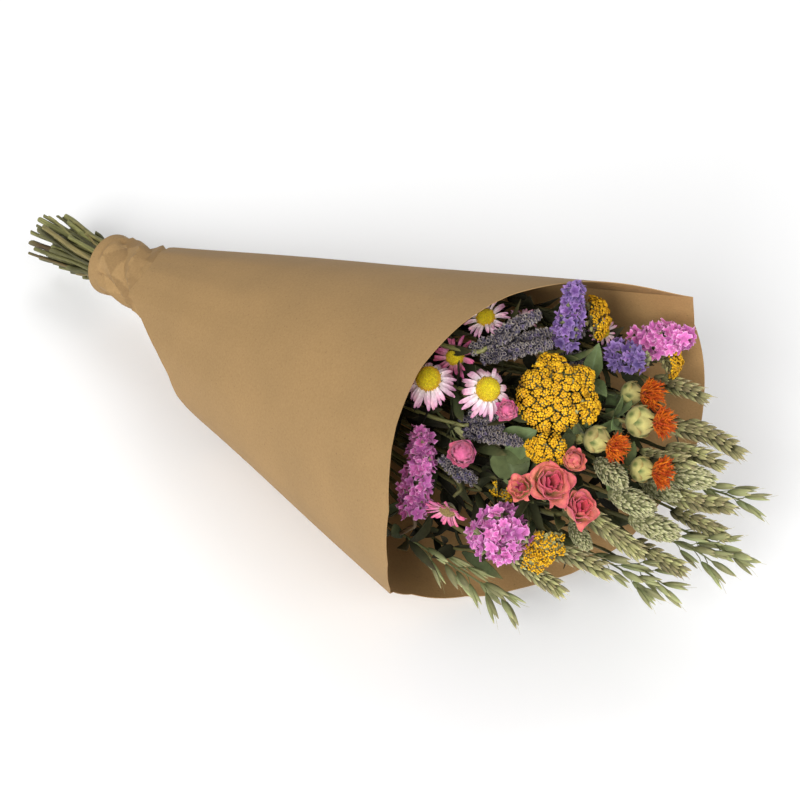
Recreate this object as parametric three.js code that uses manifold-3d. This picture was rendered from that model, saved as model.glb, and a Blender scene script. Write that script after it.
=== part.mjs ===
// A mixed bouquet of dried field flowers, rolled in a cone of kraft paper and lying on its side.
// Millimetres, +Z up, +X from the cut stems to the flowers. The cone lies on a flattened strip below.
import * as THREE from "three";
import { mergeVertices } from "three/addons/utils/BufferGeometryUtils.js";
import Module from "manifold-3d";

const wasm = await Module();
wasm.setup();

// Driving dimensions of the paper cone. Distances along its axis count from its ideal apex on the floor.
const HALF_ANGLE = THREE.MathUtils.degToRad(12.5);
const PAPER = 0.8; // thickness of the shell that stands for the sheet
const FLAT_DEPTH = 2.2; // how far the weight flattens the underside
const COLUMNS = 40; // facets round the cone
// Mouth and stem-end edge of the rolled sheet: [angle round the cone from its top, distance along its axis].
const MOUTH_EDGE = [
  [-180, 461], [-160, 440], [-138, 429], [-124, 433], [-108, 449], [-90, 461], [-70, 465], [-45, 456],
  [-27, 454], [-9, 459], [9, 468], [27, 487], [40, 501], [56, 522], [70, 514], [115, 510], [150, 490],
  [180, 461],
];
const STEM_EDGE = [
  [-180, 262], [-140, 262], [-102, 244], [-85, 239], [-71, 227], [-40, 186], [-14, 191], [30, 176],
  [90, 188], [140, 226], [180, 262],
];

// The sheet's gathered neck round the stems.
const NECK_START = 131;
const NECK_END = 164;
const NECK_RADIUS = 20.5;
const NECK_LIFT = 15; // the tied stems lie above the cone's own axis
const NECK_ASIDE = 3.5; // and a little to one side
const FUNNEL_END = 272;
const PLEATS = 10;
const PLEAT_DEPTH = 1.7;

// The tied bunch of stems.
const STEM_RADIUS = 1.75;
const STEM_SIDES = 3;
const WAIST = 146; // where the tie holds the stems
const WAIST_RADIUS = 13.6;
const CUT_NEAREST = 64;
const CUT_FURTHEST = 108;
const SPLAY = 1.5; // how much wider the bunch is at its cut ends than at the tie
const TIE_RADIUS = 1.1;
const PRESSED = 3; // length over which the tie presses the stems into one another
const PRESSED_SHARE = 0.93; // of the waist's radius
const PRESSED_SIDES = 10;
const STRAIGHT_END = 6; // the last of each stem, in line with its head
const KNEE_OUT = 14; // where a stem starts to turn to its head: back from the head, then back along the cone
const KNEE_BACK = 30;
const HEADS_SPREAD = 95; // how far from the axis the outermost heads sit

const GAP = 0.35; // clearance kept between separate pieces
const STEM_GAP = 0.25; // and round a stem
const SEAT = 0.45; // from a stem's end to the foot of its head
const SLIDE_STEP = 1.5; // how a head gives way to its neighbours, along the line of sight
const SLIDE_TRIES = 40;
const BOW_STEP = 2.6; // how a stem gives way, sideways
const BOW_TRIES = 48;

// The face of the bouquet is set out as it is seen from above its mouth: across, up and out towards the eye.
const FACE_AT = 475;
const FACE_AZIMUTH = THREE.MathUtils.degToRad(40.7);
const FACE_ELEVATION = THREE.MathUtils.degToRad(46.6);

const AXIS = new THREE.Vector3(Math.cos(HALF_ANGLE), 0, Math.sin(HALF_ANGLE));
const LIFT = new THREE.Vector3(-Math.sin(HALF_ANGLE), 0, Math.cos(HALF_ANGLE));
const SIDE = new THREE.Vector3(0, 1, 0);
const OUT = new THREE.Vector3(
  Math.sin(FACE_AZIMUTH) * Math.cos(FACE_ELEVATION),
  -Math.cos(FACE_AZIMUTH) * Math.cos(FACE_ELEVATION),
  Math.sin(FACE_ELEVATION),
);
const ACROSS = new THREE.Vector3(Math.cos(FACE_AZIMUTH), Math.sin(FACE_AZIMUTH), 0);
const UP = OUT.clone().cross(ACROSS);

const COLOURS = {
  paper: 0xb3935f,
  stem: 0x6f7a3c,
  tie: 0xa08a5c,
  yarrow: 0xc79a1c,
  petal_pale: 0xeab8cf,
  petal_hot: 0xd8427f,
  disc: 0xe3c11e,
  statice_pink: 0xd565b4,
  statice_purple: 0x8a5fc2,
  lavender: 0x6a6480,
  rose: 0xdc6a72,
  thistle_green: 0xa3a052,
  thistle_orange: 0xcc6415,
  grass: 0xb9b489,
  wheat: 0xb5a766,
  oat: 0xa4a06a,
  leaf: 0x5d7550,
};

const vec = (x, y, z) => new THREE.Vector3(x, y, z);
const lerp = THREE.MathUtils.lerp;
const TURN = 2 * Math.PI;
const GOLDEN = 2.39996;

// Repeatable draws between 0 and 1.
function dice(seed) {
  let state = seed * 2654435761;
  return () => {
    state = (state + 0x6d2b79f5) | 0;
    let t = Math.imul(state ^ (state >>> 15), 1 | state);
    t = (t + Math.imul(t ^ (t >>> 7), 61 | t)) ^ t;
    return ((t ^ (t >>> 14)) >>> 0) / 4294967296;
  };
}

// A closed solid from points and triangles, with its faces turned outwards.
function solid(points, triangles) {
  const flat = new Float32Array(points.length * 3);
  points.forEach((p, i) => p.toArray(flat, i * 3));
  const geometry = new THREE.BufferGeometry();
  geometry.setAttribute("position", new THREE.BufferAttribute(flat, 3));
  geometry.setIndex(triangles.flat());
  const merged = mergeVertices(geometry, 1e-4);
  const corners = new Uint32Array(merged.index.array);
  const make = () =>
    new wasm.Manifold(
      new wasm.Mesh({ numProp: 3, vertProperties: merged.attributes.position.array, triVerts: corners }),
    );
  const made = make();
  if (made.volume() > 0) return made;
  for (let i = 0; i < corners.length; i += 3) {
    [corners[i + 1], corners[i + 2]] = [corners[i + 2], corners[i + 1]];
  }
  return make();
}

// One body of several that are sunk into each other. Scraps that the joining leaves loose are dropped.
function fuse(pieces) {
  const bodies = wasm.Manifold.union(pieces).decompose();
  return bodies.reduce((best, body) => (body.volume() > best.volume() ? body : best));
}

// A skin through rings of equal count, closed at each end by a fan to a point.
function loft(rings, first, last) {
  const sides = rings[0].length;
  const points = rings.flat().concat([first, last]);
  const triangles = [];
  const start = points.length - 2;
  const end = points.length - 1;
  for (let j = 0; j < sides; j++) {
    const next = (j + 1) % sides;
    triangles.push([start, next, j]);
    for (let i = 0; i + 1 < rings.length; i++) {
      const a = i * sides + j;
      const b = i * sides + next;
      triangles.push([a, b, b + sides], [a, b + sides, a + sides]);
    }
    const row = (rings.length - 1) * sides;
    triangles.push([end, row + j, row + next]);
  }
  return solid(points, triangles);
}

// A tube along a curve with a radius for each place along it.
function tube(curve, radiusAt, sides, steps) {
  const frames = curve.computeFrenetFrames(steps, false);
  const rings = [];
  for (let i = 0; i <= steps; i++) {
    const centre = curve.getPoint(i / steps);
    const radius = radiusAt(i / steps);
    const ring = [];
    for (let j = 0; j < sides; j++) {
      const turn = (TURN * j) / sides;
      ring.push(
        centre
          .clone()
          .addScaledVector(frames.normals[i], Math.cos(turn) * radius)
          .addScaledVector(frames.binormals[i], Math.sin(turn) * radius),
      );
    }
    rings.push(ring);
  }
  return loft(rings, curve.getPoint(0), curve.getPoint(1));
}

// A rod through a short list of points, mitred at each, with a radius for each place along the list.
function rod(route, radiusAt, sides) {
  let normal = vec(0, 1, 0);
  const rings = route.map((centre, i) => {
    const before = route[Math.max(0, i - 1)];
    const after = route[Math.min(route.length - 1, i + 1)];
    const forward = after.clone().sub(before).normalize();
    normal = normal.clone().addScaledVector(forward, -normal.dot(forward)).normalize();
    const binormal = forward.clone().cross(normal);
    const radius = radiusAt(i / (route.length - 1));
    return Array.from({ length: sides }, (_, j) =>
      centre
        .clone()
        .addScaledVector(normal, Math.cos((TURN * j) / sides) * radius)
        .addScaledVector(binormal, Math.sin((TURN * j) / sides) * radius),
    );
  });
  return loft(rings, route[0], route[route.length - 1]);
}

// A thin blade: rows of points on its middle surface, thickened along one direction, both faces split alike.
function blade(rows, thickness, direction) {
  const width = rows[0].length;
  const half = direction.clone().multiplyScalar(thickness / 2);
  const middle = rows.flat();
  const count = middle.length;
  const points = middle.map((p) => p.clone().add(half)).concat(middle.map((p) => p.clone().sub(half)));
  const triangles = [];
  const rim = [];
  for (let i = 0; i + 1 < rows.length; i++) {
    for (let j = 0; j + 1 < width; j++) {
      const a = i * width + j;
      const b = a + 1;
      const c = a + width;
      triangles.push([a, b, c + 1], [a, c + 1, c]);
      triangles.push([count + a, count + c + 1, count + b], [count + a, count + c, count + c + 1]);
    }
  }
  for (let j = 0; j < width; j++) rim.push(j);
  for (let i = 1; i < rows.length; i++) rim.push(i * width + width - 1);
  for (let j = width - 2; j >= 0; j--) rim.push((rows.length - 1) * width + j);
  for (let i = rows.length - 2; i > 0; i--) rim.push(i * width);
  rim.forEach((a, k) => {
    const b = rim[(k + 1) % rim.length];
    triangles.push([a, count + a, count + b], [a, count + b, b]);
  });
  return solid(points, triangles);
}

// A long eight-sided grain or husk, pointed at both ends.
function husk(base, tip, width, depth, across) {
  const along = tip.clone().sub(base);
  const wide = across.clone().addScaledVector(along, -across.dot(along) / along.lengthSq()).normalize();
  const deep = along.clone().cross(wide).normalize();
  const middle = base.clone().addScaledVector(along, 0.42);
  const ring = [
    middle.clone().addScaledVector(wide, width / 2),
    middle.clone().addScaledVector(deep, depth / 2),
    middle.clone().addScaledVector(wide, -width / 2),
    middle.clone().addScaledVector(deep, -depth / 2),
  ];
  return loft([ring], base, tip);
}

// A body of revolution whose skin stands out in staggered rows of scales.
function scaly({ length, radius, sides, rows, lift, flatness = 1, tip = 0.12 }) {
  const rings = [];
  for (let i = 0; i < rows; i++) {
    for (const edge of [0, 1]) {
      const t = (i + 0.12 + 0.76 * edge) / rows;
      const swell = radius * Math.max(tip, Math.sin(Math.PI * Math.min(1, t * 0.93 + 0.07)) ** 0.6);
      const ring = [];
      for (let j = 0; j < sides; j++) {
        const turn = (TURN * (j + 0.5 * (i % 2))) / sides;
        const out = edge && (j + i) % 2 === 0 ? lift : 0;
        const r = swell + out;
        ring.push(vec(Math.cos(turn) * r, Math.sin(turn) * r * flatness, t * length + out * 0.5));
      }
      rings.push(ring);
    }
  }
  return loft(rings, vec(0, 0, 0), vec(0, 0, length));
}

// A dome of florets: a hexagonal net in which every third point stands up as a floret, on a cone to its foot.
// The florets of its rim stand lower, so that they stay clear of the cone.
const RIM_RISE = 0.4;
const PEAK_FLARE = 0.04;

function floretDome({ rings, radius, height, bump, under }) {
  const index = new Map();
  const points = [];
  const key = (q, r) => q * 100 + r;
  const level = (q, r) => Math.max(Math.abs(q), Math.abs(r), Math.abs(q + r));
  for (let q = -rings; q <= rings; q++) {
    for (let r = -rings; r <= rings; r++) {
      if (level(q, r) > rings) continue;
      const place = vec(q + r / 2, (r * Math.sqrt(3)) / 2, 0);
      const t = level(q, r) / rings;
      if (t > 0) place.normalize().multiplyScalar(t * radius);
      const peak = (((q - r) % 3) + 3) % 3 === 0;
      const rise = t < 1 ? bump : bump * RIM_RISE;
      place.z = under + height * Math.cos((t * Math.PI) / 2) + (peak ? rise : 0);
      if (peak) place.multiply(vec(1 + PEAK_FLARE * t, 1 + PEAK_FLARE * t, 1));
      index.set(key(q, r), points.length);
      points.push(place);
    }
  }
  const triangles = [];
  for (const [q, r] of [...index.keys()].map((k) => [Math.round(k / 100), k - Math.round(k / 100) * 100])) {
    const a = index.get(key(q, r));
    const b = index.get(key(q + 1, r));
    const c = index.get(key(q, r + 1));
    const d = index.get(key(q + 1, r - 1));
    if (b !== undefined && c !== undefined) triangles.push([a, b, c]);
    if (b !== undefined && d !== undefined) triangles.push([a, d, b]);
  }
  const corners = [[1, 0], [0, 1], [-1, 1], [-1, 0], [0, -1], [1, -1]];
  const rim = [];
  corners.forEach(([q, r], k) => {
    const [nq, nr] = corners[(k + 1) % 6];
    for (let i = 0; i < rings; i++) {
      rim.push(index.get(key(q * (rings - i) + nq * i, r * (rings - i) + nr * i)));
    }
  });
  const foot = points.length;
  points.push(vec(0, 0, 0));
  rim.forEach((a, k) => triangles.push([a, foot, rim[(k + 1) % rim.length]]));
  return solid(points, triangles);
}

const moved = (body, x, y, z) => body.translate([x, y, z]);

// Turns +Z to a direction and moves the foot to a place.
function aimed(body, place, direction) {
  const turn = new THREE.Quaternion().setFromUnitVectors(vec(0, 0, 1), direction.clone().normalize());
  return body.transform(new THREE.Matrix4().compose(place, turn, vec(1, 1, 1)).elements);
}

// Yarrow: a wide main dome with smaller domes of florets leaning out round it.
function yarrow({ radius, rings, lobes }) {
  const parts = [floretDome({ rings, radius, height: radius * 0.42, bump: 1.3, under: radius * 0.5 })];
  for (const [across, up, size] of lobes) {
    const lobe = floretDome({ rings: 3, radius: size, height: size * 0.45, bump: 1.2, under: size * 0.7 });
    parts.push(aimed(lobe, vec(across * 0.62, up * 0.62, radius * 0.28), vec(across, up, radius * 0.9)));
  }
  return fuse(parts);
}

// Ray petals round a hub: each is a thin blade with a waist and a broad end. The hub runs down to the stem.
function petalRing({ petals, radius, hub, width, cup, thickness, seed, height }) {
  const roll = dice(seed);
  const top = [];
  for (let i = 0; i < petals; i++) {
    const turn = (TURN * (i + 0.1 * (roll() - 0.5))) / petals;
    const reach = radius * (0.88 + 0.12 * roll());
    const tilt = cup + 0.16 * (roll() - 0.5);
    const half = (width * Math.PI) / petals;
    const point = (share, swing) => {
      const r = reach * share;
      return vec(Math.cos(turn + swing) * r, Math.sin(turn + swing) * r, height + (r - hub) * tilt);
    };
    const cut = (TURN * (i - 0.5)) / petals;
    top.push(vec(Math.cos(cut) * hub, Math.sin(cut) * hub, height));
    top.push(point(0.72, -half), point(1, -half * 0.4), point(1, half * 0.4), point(0.72, half));
  }
  const count = top.length;
  const points = top.concat(top.map((p) => p.clone().setZ(p.z - thickness)));
  points.push(vec(0, 0, height), vec(0, 0, 0));
  const triangles = [];
  for (let i = 0; i < petals; i++) {
    const from = i * 5;
    const to = (from + 5) % count;
    for (let k = 1; k < 4; k++) {
      triangles.push([from, from + k, from + k + 1]);
      triangles.push([count + from, count + from + k + 1, count + from + k]);
    }
    triangles.push([from, from + 4, to], [count + from, count + to, count + from + 4]);
    triangles.push([2 * count, from, to], [2 * count + 1, count + to, count + from]);
    for (let k = 0; k < 5; k++) {
      const a = from + k;
      const b = k < 4 ? a + 1 : to;
      triangles.push([a, count + a, count + b], [a, count + b, b]);
    }
  }
  return solid(points, triangles);
}

// Paper daisy: ray petals on a hub, with the disc of florets as a piece of its own if it is wanted.
const HUB_SHARE = 0.3;
const HUB_HEIGHT = 0.34;

function daisy({ radius, petals, cup, seed, disc }) {
  const hub = radius * HUB_SHARE;
  const height = radius * HUB_HEIGHT;
  const ring = petalRing({ petals, radius, hub, width: 0.8, cup, thickness: 0.7, seed, height });
  if (disc) return ring;
  const dome = floretDome({ rings: 2, radius: hub * 0.94, height: hub * 0.45, bump: 0.7, under: 0.6 });
  return fuse([ring, moved(dome, 0, 0, height - 0.5)]);
}

function daisyDisc({ radius }) {
  const hub = radius * HUB_SHARE;
  const dome = floretDome({ rings: 3, radius: hub * 1.12, height: hub * 0.5, bump: 0.7, under: 0.5 });
  return moved(dome, 0, 0, radius * HUB_HEIGHT + GAP);
}

// A closed flower bud: overlapping bracts that draw in to a tip.
function bud({ radius, length }) {
  return scaly({ length, radius, sides: 8, rows: 4, lift: radius * 0.16 });
}

// A ruffled papery floret of statice: a funnel with a waved rim.
function ruffle(place, direction, radius, seed) {
  const roll = dice(seed);
  const rim = [];
  const turns = 6;
  for (let j = 0; j < turns; j++) {
    const r = radius * (j % 2 ? 0.74 : 1.05 + 0.12 * roll());
    const turn = (TURN * j) / turns;
    rim.push(vec(Math.cos(turn) * r, Math.sin(turn) * r, radius * (j % 2 ? 1.35 : 1.05)));
  }
  return aimed(loft([rim], vec(0, 0, 0), vec(0, 0, radius * 0.8)), place, direction);
}

// Statice: ruffled florets all round a slim core that follows the spray.
function statice({ path, radius, florets, seed, size }) {
  const roll = dice(seed);
  const curve = new THREE.CatmullRomCurve3(path.map((p) => vec(...p)));
  const core = tube(curve, (t) => radius * (0.3 + 0.5 * Math.sin(Math.PI * (0.15 + 0.8 * t))), 5, 3);
  const parts = [core];
  for (let i = 0; i < florets; i++) {
    const t = (i + 0.7) / florets;
    const centre = curve.getPoint(t);
    const along = curve.getTangent(t);
    const wide = vec(1, 0, 0).addScaledVector(along, -along.x).normalize();
    const deep = along.clone().cross(wide);
    const turn = i * GOLDEN + roll() * 0.5;
    const outwards = wide.multiplyScalar(Math.cos(turn)).addScaledVector(deep, Math.sin(turn));
    outwards.addScaledVector(along, 0.35 + 0.9 * t * t);
    const swell = Math.sin(Math.PI * (0.12 + 0.76 * t));
    const start = centre.clone().addScaledVector(outwards, radius * 0.28 * swell);
    parts.push(ruffle(start, outwards, size * (0.85 + 0.3 * roll()), seed + i));
  }
  return fuse(parts);
}

// Lavender: slim spikes of whorls on thin stalks that part from one foot.
function lavender({ spikes }) {
  const parts = [];
  for (const [foot, tip, radius] of spikes) {
    const from = vec(...foot);
    const to = vec(...tip);
    const length = from.distanceTo(to);
    const spike = scaly({ length, radius, sides: 6, rows: Math.round(length / 7), lift: radius * 0.42 });
    parts.push(aimed(spike, from, to.clone().sub(from)));
    parts.push(tube(new THREE.LineCurve3(vec(0, 0, 0), from.clone().lerp(to, 0.1)), () => 0.8, 4, 1));
  }
  return fuse(parts);
}

// One whorl of rose petals: a cup whose rim rises at each petal's middle, curls out and dips between petals.
function petalCup({ radius, length, petals, phase, curl }) {
  const columns = petals * 2;
  const ring = (share, z, dip, wall) =>
    Array.from({ length: columns }, (_, j) => {
      const turn = (TURN * (j + phase)) / columns;
      const fall = j % 2 ? dip : 0;
      const r = radius * share * (j % 2 ? 0.93 : 1) - wall;
      return vec(Math.cos(turn) * r, Math.sin(turn) * r, (z - fall) * length);
    });
  const rings = [
    ring(0.62, 0.2, 0, 0),
    ring(1 - curl, 0.62, 0, 0),
    ring(1, 1, 0.16, 0),
    ring(1, 1.04, 0.16, 0.8),
    ring(1 - curl, 0.64, 0, 0.9),
  ];
  return loft(rings, vec(0, 0, 0), vec(0, 0, length * 0.36));
}

// Rose: nested whorls of petals round a closed heart.
function rose({ radius, whorls }) {
  const length = radius * 1.45;
  const parts = [];
  for (let i = 0; i < whorls; i++) {
    const share = 1 - (0.58 * i) / whorls;
    const depth = length * (0.82 + 0.1 * i);
    const cup = petalCup({
      radius: radius * share, length: depth, petals: 5, phase: i * 0.9, curl: 0.14 * share,
    });
    parts.push(moved(cup, 0, 0, i * length * 0.04));
  }
  const heart = scaly({ length: length * 0.9, radius: radius * 0.27, sides: 6, rows: 2, lift: 0.7 });
  parts.push(moved(heart, 0, 0, length * 0.2));
  return fuse(parts);
}

// Safflower: a globe of overlapping pointed green bracts.
const GLOBE_LENGTH = 1.9; // in radii

function thistleGlobe({ radius }) {
  const length = radius * GLOBE_LENGTH;
  return scaly({ length, radius: radius * 0.86, sides: 8, rows: 3, lift: radius * 0.36, tip: 0.3 });
}

// The orange tuft of a safflower: a brush of thin florets that spread from one point.
function thistleTuft({ radius, length }) {
  return floretDome({ rings: 3, radius, height: length * 0.3, bump: length * 0.42, under: length * 0.28 });
}

// Canary grass: a dense egg-shaped head of overlapping husks.
function canary({ length, radius }) {
  return scaly({ length, radius, sides: 8, rows: 5, lift: radius * 0.2, flatness: 0.86 });
}

// An ear of wheat: two ranks of plump spikelets up a slim rachis.
function wheat({ length, radius, spikelets }) {
  const rachis = new THREE.LineCurve3(vec(0, 0, 0), vec(0, 0, length * 0.94));
  const parts = [tube(rachis, () => radius * 0.34, 4, 1)];
  for (let i = 0; i < spikelets; i++) {
    const t = i / spikelets;
    const turn = (i % 2) * Math.PI + (i % 4 > 1 ? 0.55 : -0.55);
    const outwards = vec(Math.cos(turn), Math.sin(turn), 0);
    const swell = radius * Math.sin(Math.PI * (0.3 + 0.55 * t)) ** 0.5;
    const from = outwards.clone().multiplyScalar(radius * 0.12).setZ(length * t * 0.88);
    const to = outwards.clone().multiplyScalar(swell).setZ(length * (t * 0.86 + 0.24));
    parts.push(husk(from, to, radius * 1.05, radius * 0.8, vec(-Math.sin(turn), Math.cos(turn), 0)));
  }
  return fuse(parts);
}

// A nodding husk on its own thin stalk, as one slim body.
function spikelet(from, bend, tip, width) {
  const along = tip.clone().sub(bend).normalize();
  const wide = vec(0.3, 1, 0.2).cross(along).normalize();
  const deep = along.clone().cross(wide);
  const ring = (centre, half, thin) => [
    centre.clone().addScaledVector(wide, half),
    centre.clone().addScaledVector(deep, thin),
    centre.clone().addScaledVector(wide, -half),
    centre.clone().addScaledVector(deep, -thin),
  ];
  return loft([ring(bend, 0.55, 0.5), ring(bend.clone().lerp(tip, 0.4), width / 2, width * 0.34)], from, tip);
}

// Oats: nodding husks along a bent stalk, the last one at its end.
function oats({ path, branches, seed, husks, droop }) {
  const roll = dice(seed);
  const curve = new THREE.CatmullRomCurve3(path.map((p) => vec(...p)));
  const parts = [tube(curve, (t) => 1 - 0.35 * t, 4, 3)];
  for (let i = 0; i < branches; i++) {
    const last = i === branches - 1;
    const t = last ? 1 : 0.16 + (0.8 * i) / (branches - 1);
    const from = curve.getPoint(t);
    const forward = curve.getTangent(t);
    const turn = i * GOLDEN + roll();
    const aside = vec(Math.cos(turn), Math.sin(turn), 0);
    const reach = last ? 1 : 5 + 3 * roll();
    const bend = from.clone().addScaledVector(forward, reach).addScaledVector(aside, last ? 0 : reach * 0.75);
    const hang = forward.clone().addScaledVector(droop, 0.7).addScaledVector(aside, 0.4).normalize();
    const size = husks * (0.85 + 0.3 * roll());
    const start = last ? from.clone().addScaledVector(forward, -3) : from.clone();
    parts.push(spikelet(start, bend, bend.clone().addScaledVector(hang, size), size * 0.3));
  }
  return fuse(parts);
}

// A leaf with a folded midrib and a waved edge; the widths are shares of its breadth along its length.
function leaf({ length, breadth, widths, fold, droop, wave, seed }) {
  const roll = dice(seed);
  const rows = widths.map((width, i) => {
    const t = i / (widths.length - 1);
    const half = (breadth / 2) * width;
    const ripple = wave * (roll() - 0.5);
    const z = -droop * t * t;
    return [
      vec(-half, t * length, z + half * fold + ripple),
      vec(0, t * length, z),
      vec(half, t * length, z + half * fold - ripple),
    ];
  });
  return blade(rows, 0.8, vec(0, 0, 1));
}

// Leaves that fan from one foot: each one's turn about the foot, tilt from the stem, and size.
function leafSpray({ leaves, widths, breadth }) {
  const stalk = new THREE.LineCurve3(vec(0, 0, 0), vec(0, 0, 3.4));
  const parts = [tube(stalk, () => 1.3, 5, 1)];
  leaves.forEach(([turn, tilt, length, wave], i) => {
    const one = leaf({
      length, breadth: length * breadth, widths, fold: 0.22, droop: length * 0.14, wave, seed: 40 + i,
    });
    const pose = new THREE.Matrix4().makeRotationZ(THREE.MathUtils.degToRad(turn));
    pose.multiply(new THREE.Matrix4().makeRotationX(Math.PI / 2 - THREE.MathUtils.degToRad(tilt)));
    pose.setPosition(0, 0, 2.2);
    parts.push(one.transform(pose.elements));
  });
  return fuse(parts);
}

// Heart-shaped and lance-shaped outlines, as shares of the breadth from the foot to the tip.
const HEART = [0.4, 1, 0.82, 0.06];
const LANCE = [0.3, 0.95, 0.8, 0.06];

// The heads: kind, name, place [across, up, out], facing [across, up, out], and the form of each.
// A place is the middle of the head's foot to tip length, and the facing points from foot to tip.
const HEADS = [
  {
    name: "yarrow_main", kind: yarrow, colour: "yarrow",
    at: [10, 36, 38], facing: [0.05, 0.1, 1], deep: 20,
    form: { radius: 19.5, rings: 6, lobes: [[-17, 19, 8.5], [8, 27, 8.5], [25, 12, 9]] },
  },
  {
    name: "rose_large", kind: rose, colour: "rose",
    at: [9, -9, 46], facing: [0.4, 0.3, 0.9], deep: 16,
    form: { radius: 10.5, whorls: 3 },
  },
  {
    name: "daisy_a_petals", kind: daisy, colour: "petal_pale",
    at: [-54, 44, 26], facing: [-0.15, -0.05, 1], deep: 9,
    form: { radius: 16.5, petals: 13, cup: 0.24, seed: 5, disc: true }, disc: "daisy_a_disc",
  },
  {
    name: "daisy_b_petals", kind: daisy, colour: "petal_pale",
    at: [-27, 39, 40], facing: [0.1, 0.15, 1], deep: 9,
    form: { radius: 16, petals: 13, cup: 0.34, seed: 8, disc: true }, disc: "daisy_b_disc",
  },
  {
    name: "daisy_c", kind: daisy, colour: "petal_pale",
    at: [-24, 79, 16], facing: [-0.2, 0.5, 0.85], deep: 8,
    form: { radius: 13.5, petals: 11, cup: 0.3, seed: 11 },
  },
  {
    name: "yarrow_lower", branch: "yarrow_main", kind: yarrow, colour: "yarrow",
    at: [8, 8, 34], facing: [-0.05, -0.35, 1], deep: 14,
    form: { radius: 11, rings: 4, lobes: [[-9, -4, 6]] },
  },
  {
    name: "statice_pink_left", kind: statice, colour: "statice_pink",
    at: [-61, -8, 12], facing: [0.12, 1, 0.35], deep: 46,
    form: {
      path: [[0, 0, 0], [-2, 1, 16], [1, 0, 32], [-1, 0, 46]], radius: 9, florets: 8, seed: 21,
      size: 7,
    },
  },
  {
    name: "statice_pink_front", kind: statice, colour: "statice_pink",
    at: [-15, -35, 24], facing: [-0.1, -0.25, 1], deep: 20,
    form: {
      path: [[0, 0, 0], [1, 1, 8], [-1, 0, 15], [0, 0, 20]], radius: 19, florets: 8, seed: 33,
      size: 7.8,
    },
  },
  {
    name: "statice_pink_far", kind: statice, colour: "statice_pink",
    at: [67, 67, 10], facing: [0.72, 0.05, 0.6], deep: 32,
    form: {
      path: [[0, 0, 0], [2, 2, 11], [0, 1, 22], [0, 0, 32]], radius: 10, florets: 9, seed: 47,
      size: 6.4,
    },
  },
  {
    name: "rose_right", kind: rose, colour: "rose",
    at: [25, -22, 42], facing: [0.5, 0.3, 0.8], deep: 15,
    form: { radius: 9.5, whorls: 2 },
  },
  {
    name: "rose_left", branch: "rose_large", kind: rose, colour: "rose",
    at: [-5, -12, 38], facing: [-0.45, 0.2, 0.9], deep: 12,
    form: { radius: 7.5, whorls: 2 },
  },
  {
    name: "rose_bud", branch: "rose_large", kind: bud, colour: "rose",
    at: [22, 3, 38], facing: [0.2, 0.3, 1], deep: 13,
    form: { radius: 5.2, length: 13 },
  },
  {
    name: "leaf_heart", branch: "rose_right", kind: leafSpray, colour: "leaf",
    at: [-13, 9, 24], facing: [0, 0.15, 1], deep: 14,
    form: {
      widths: HEART, breadth: 0.95,
      leaves: [[-126, 80, 23, 1.2], [-62, 66, 18, 1.5], [-20, 56, 20, 1.2]],
    },
  },
  {
    name: "thistle_front_globe", kind: thistleGlobe, colour: "thistle_green",
    at: [61, 23, 26], facing: [0.85, -0.05, 0.5], deep: 17,
    form: { radius: 8.6 },
    tuft: { name: "thistle_front_tuft", radius: 7.3, length: 12.5 },
  },
  {
    name: "thistle_low_globe", kind: thistleGlobe, colour: "thistle_green",
    at: [36, 13, 29], facing: [0.85, -0.38, 0.5], deep: 15,
    form: { radius: 7.6 },
    tuft: { name: "thistle_low_tuft", radius: 7, length: 12 },
  },
  {
    name: "thistle_side_globe", branch: "thistle_front_globe", kind: thistleGlobe, colour: "thistle_green",
    at: [62, -3, 22], facing: [0.9, -0.15, 0.45], deep: 14,
    form: { radius: 7 },
    tuft: { name: "thistle_side_tuft", radius: 7.5, length: 12 },
  },
  {
    name: "thistle_back_globe", branch: "thistle_front_globe", kind: thistleGlobe, colour: "thistle_green",
    at: [59, 38, 8], facing: [0.8, -0.05, 0.5], deep: 15,
    form: { radius: 6.6 },
    tuft: { name: "thistle_back_tuft", radius: 8, length: 14 },
  },
  {
    name: "thistle_closed", branch: "thistle_low_globe", kind: thistleGlobe, colour: "thistle_green",
    at: [26, 16, 14], facing: [-0.2, 0.25, 1], deep: 12,
    form: { radius: 5 },
  },
  {
    name: "daisy_bud_hot", branch: "daisy_b_petals", kind: bud, colour: "petal_hot",
    at: [-14, 29, 52], facing: [-0.3, 0.2, 0.9], deep: 10,
    form: { radius: 4.6, length: 10 },
  },
  {
    name: "daisy_bud_pink", branch: "daisy_turned", kind: bud, colour: "petal_hot",
    at: [-37, 7, 34], facing: [-0.2, -0.2, 1], deep: 13,
    form: { radius: 6.4, length: 13 },
  },
  {
    name: "daisy_turned", kind: daisy, colour: "petal_pale",
    at: [-42, -19, 18], facing: [-0.35, -0.7, 0.5], deep: 9,
    form: { radius: 12.5, petals: 9, cup: 0.75, seed: 27 },
  },
  {
    name: "daisy_behind", branch: "daisy_a_petals", kind: daisy, colour: "petal_hot",
    at: [-40, 57, 14], facing: [-0.2, 0.3, 0.9], deep: 8,
    form: { radius: 13, petals: 9, cup: 0.3, seed: 31 },
  },
  {
    name: "daisy_top", branch: "daisy_c", kind: daisy, colour: "petal_pale",
    at: [-3, 80, 8], facing: [0.1, 0.75, 0.6], deep: 7,
    form: { radius: 9.5, petals: 7, cup: 0.6, seed: 37 },
  },
  {
    name: "daisy_far", kind: daisy, colour: "petal_pale",
    at: [41, 72, -4], facing: [0.1, 0.1, 1], deep: 7,
    form: { radius: 9, petals: 7, cup: 0.4, seed: 41 },
  },
  {
    name: "lavender_top", kind: lavender, colour: "lavender",
    at: [-12, 66, 30], facing: [0.9, 0.25, 0.3], deep: 30,
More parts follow.
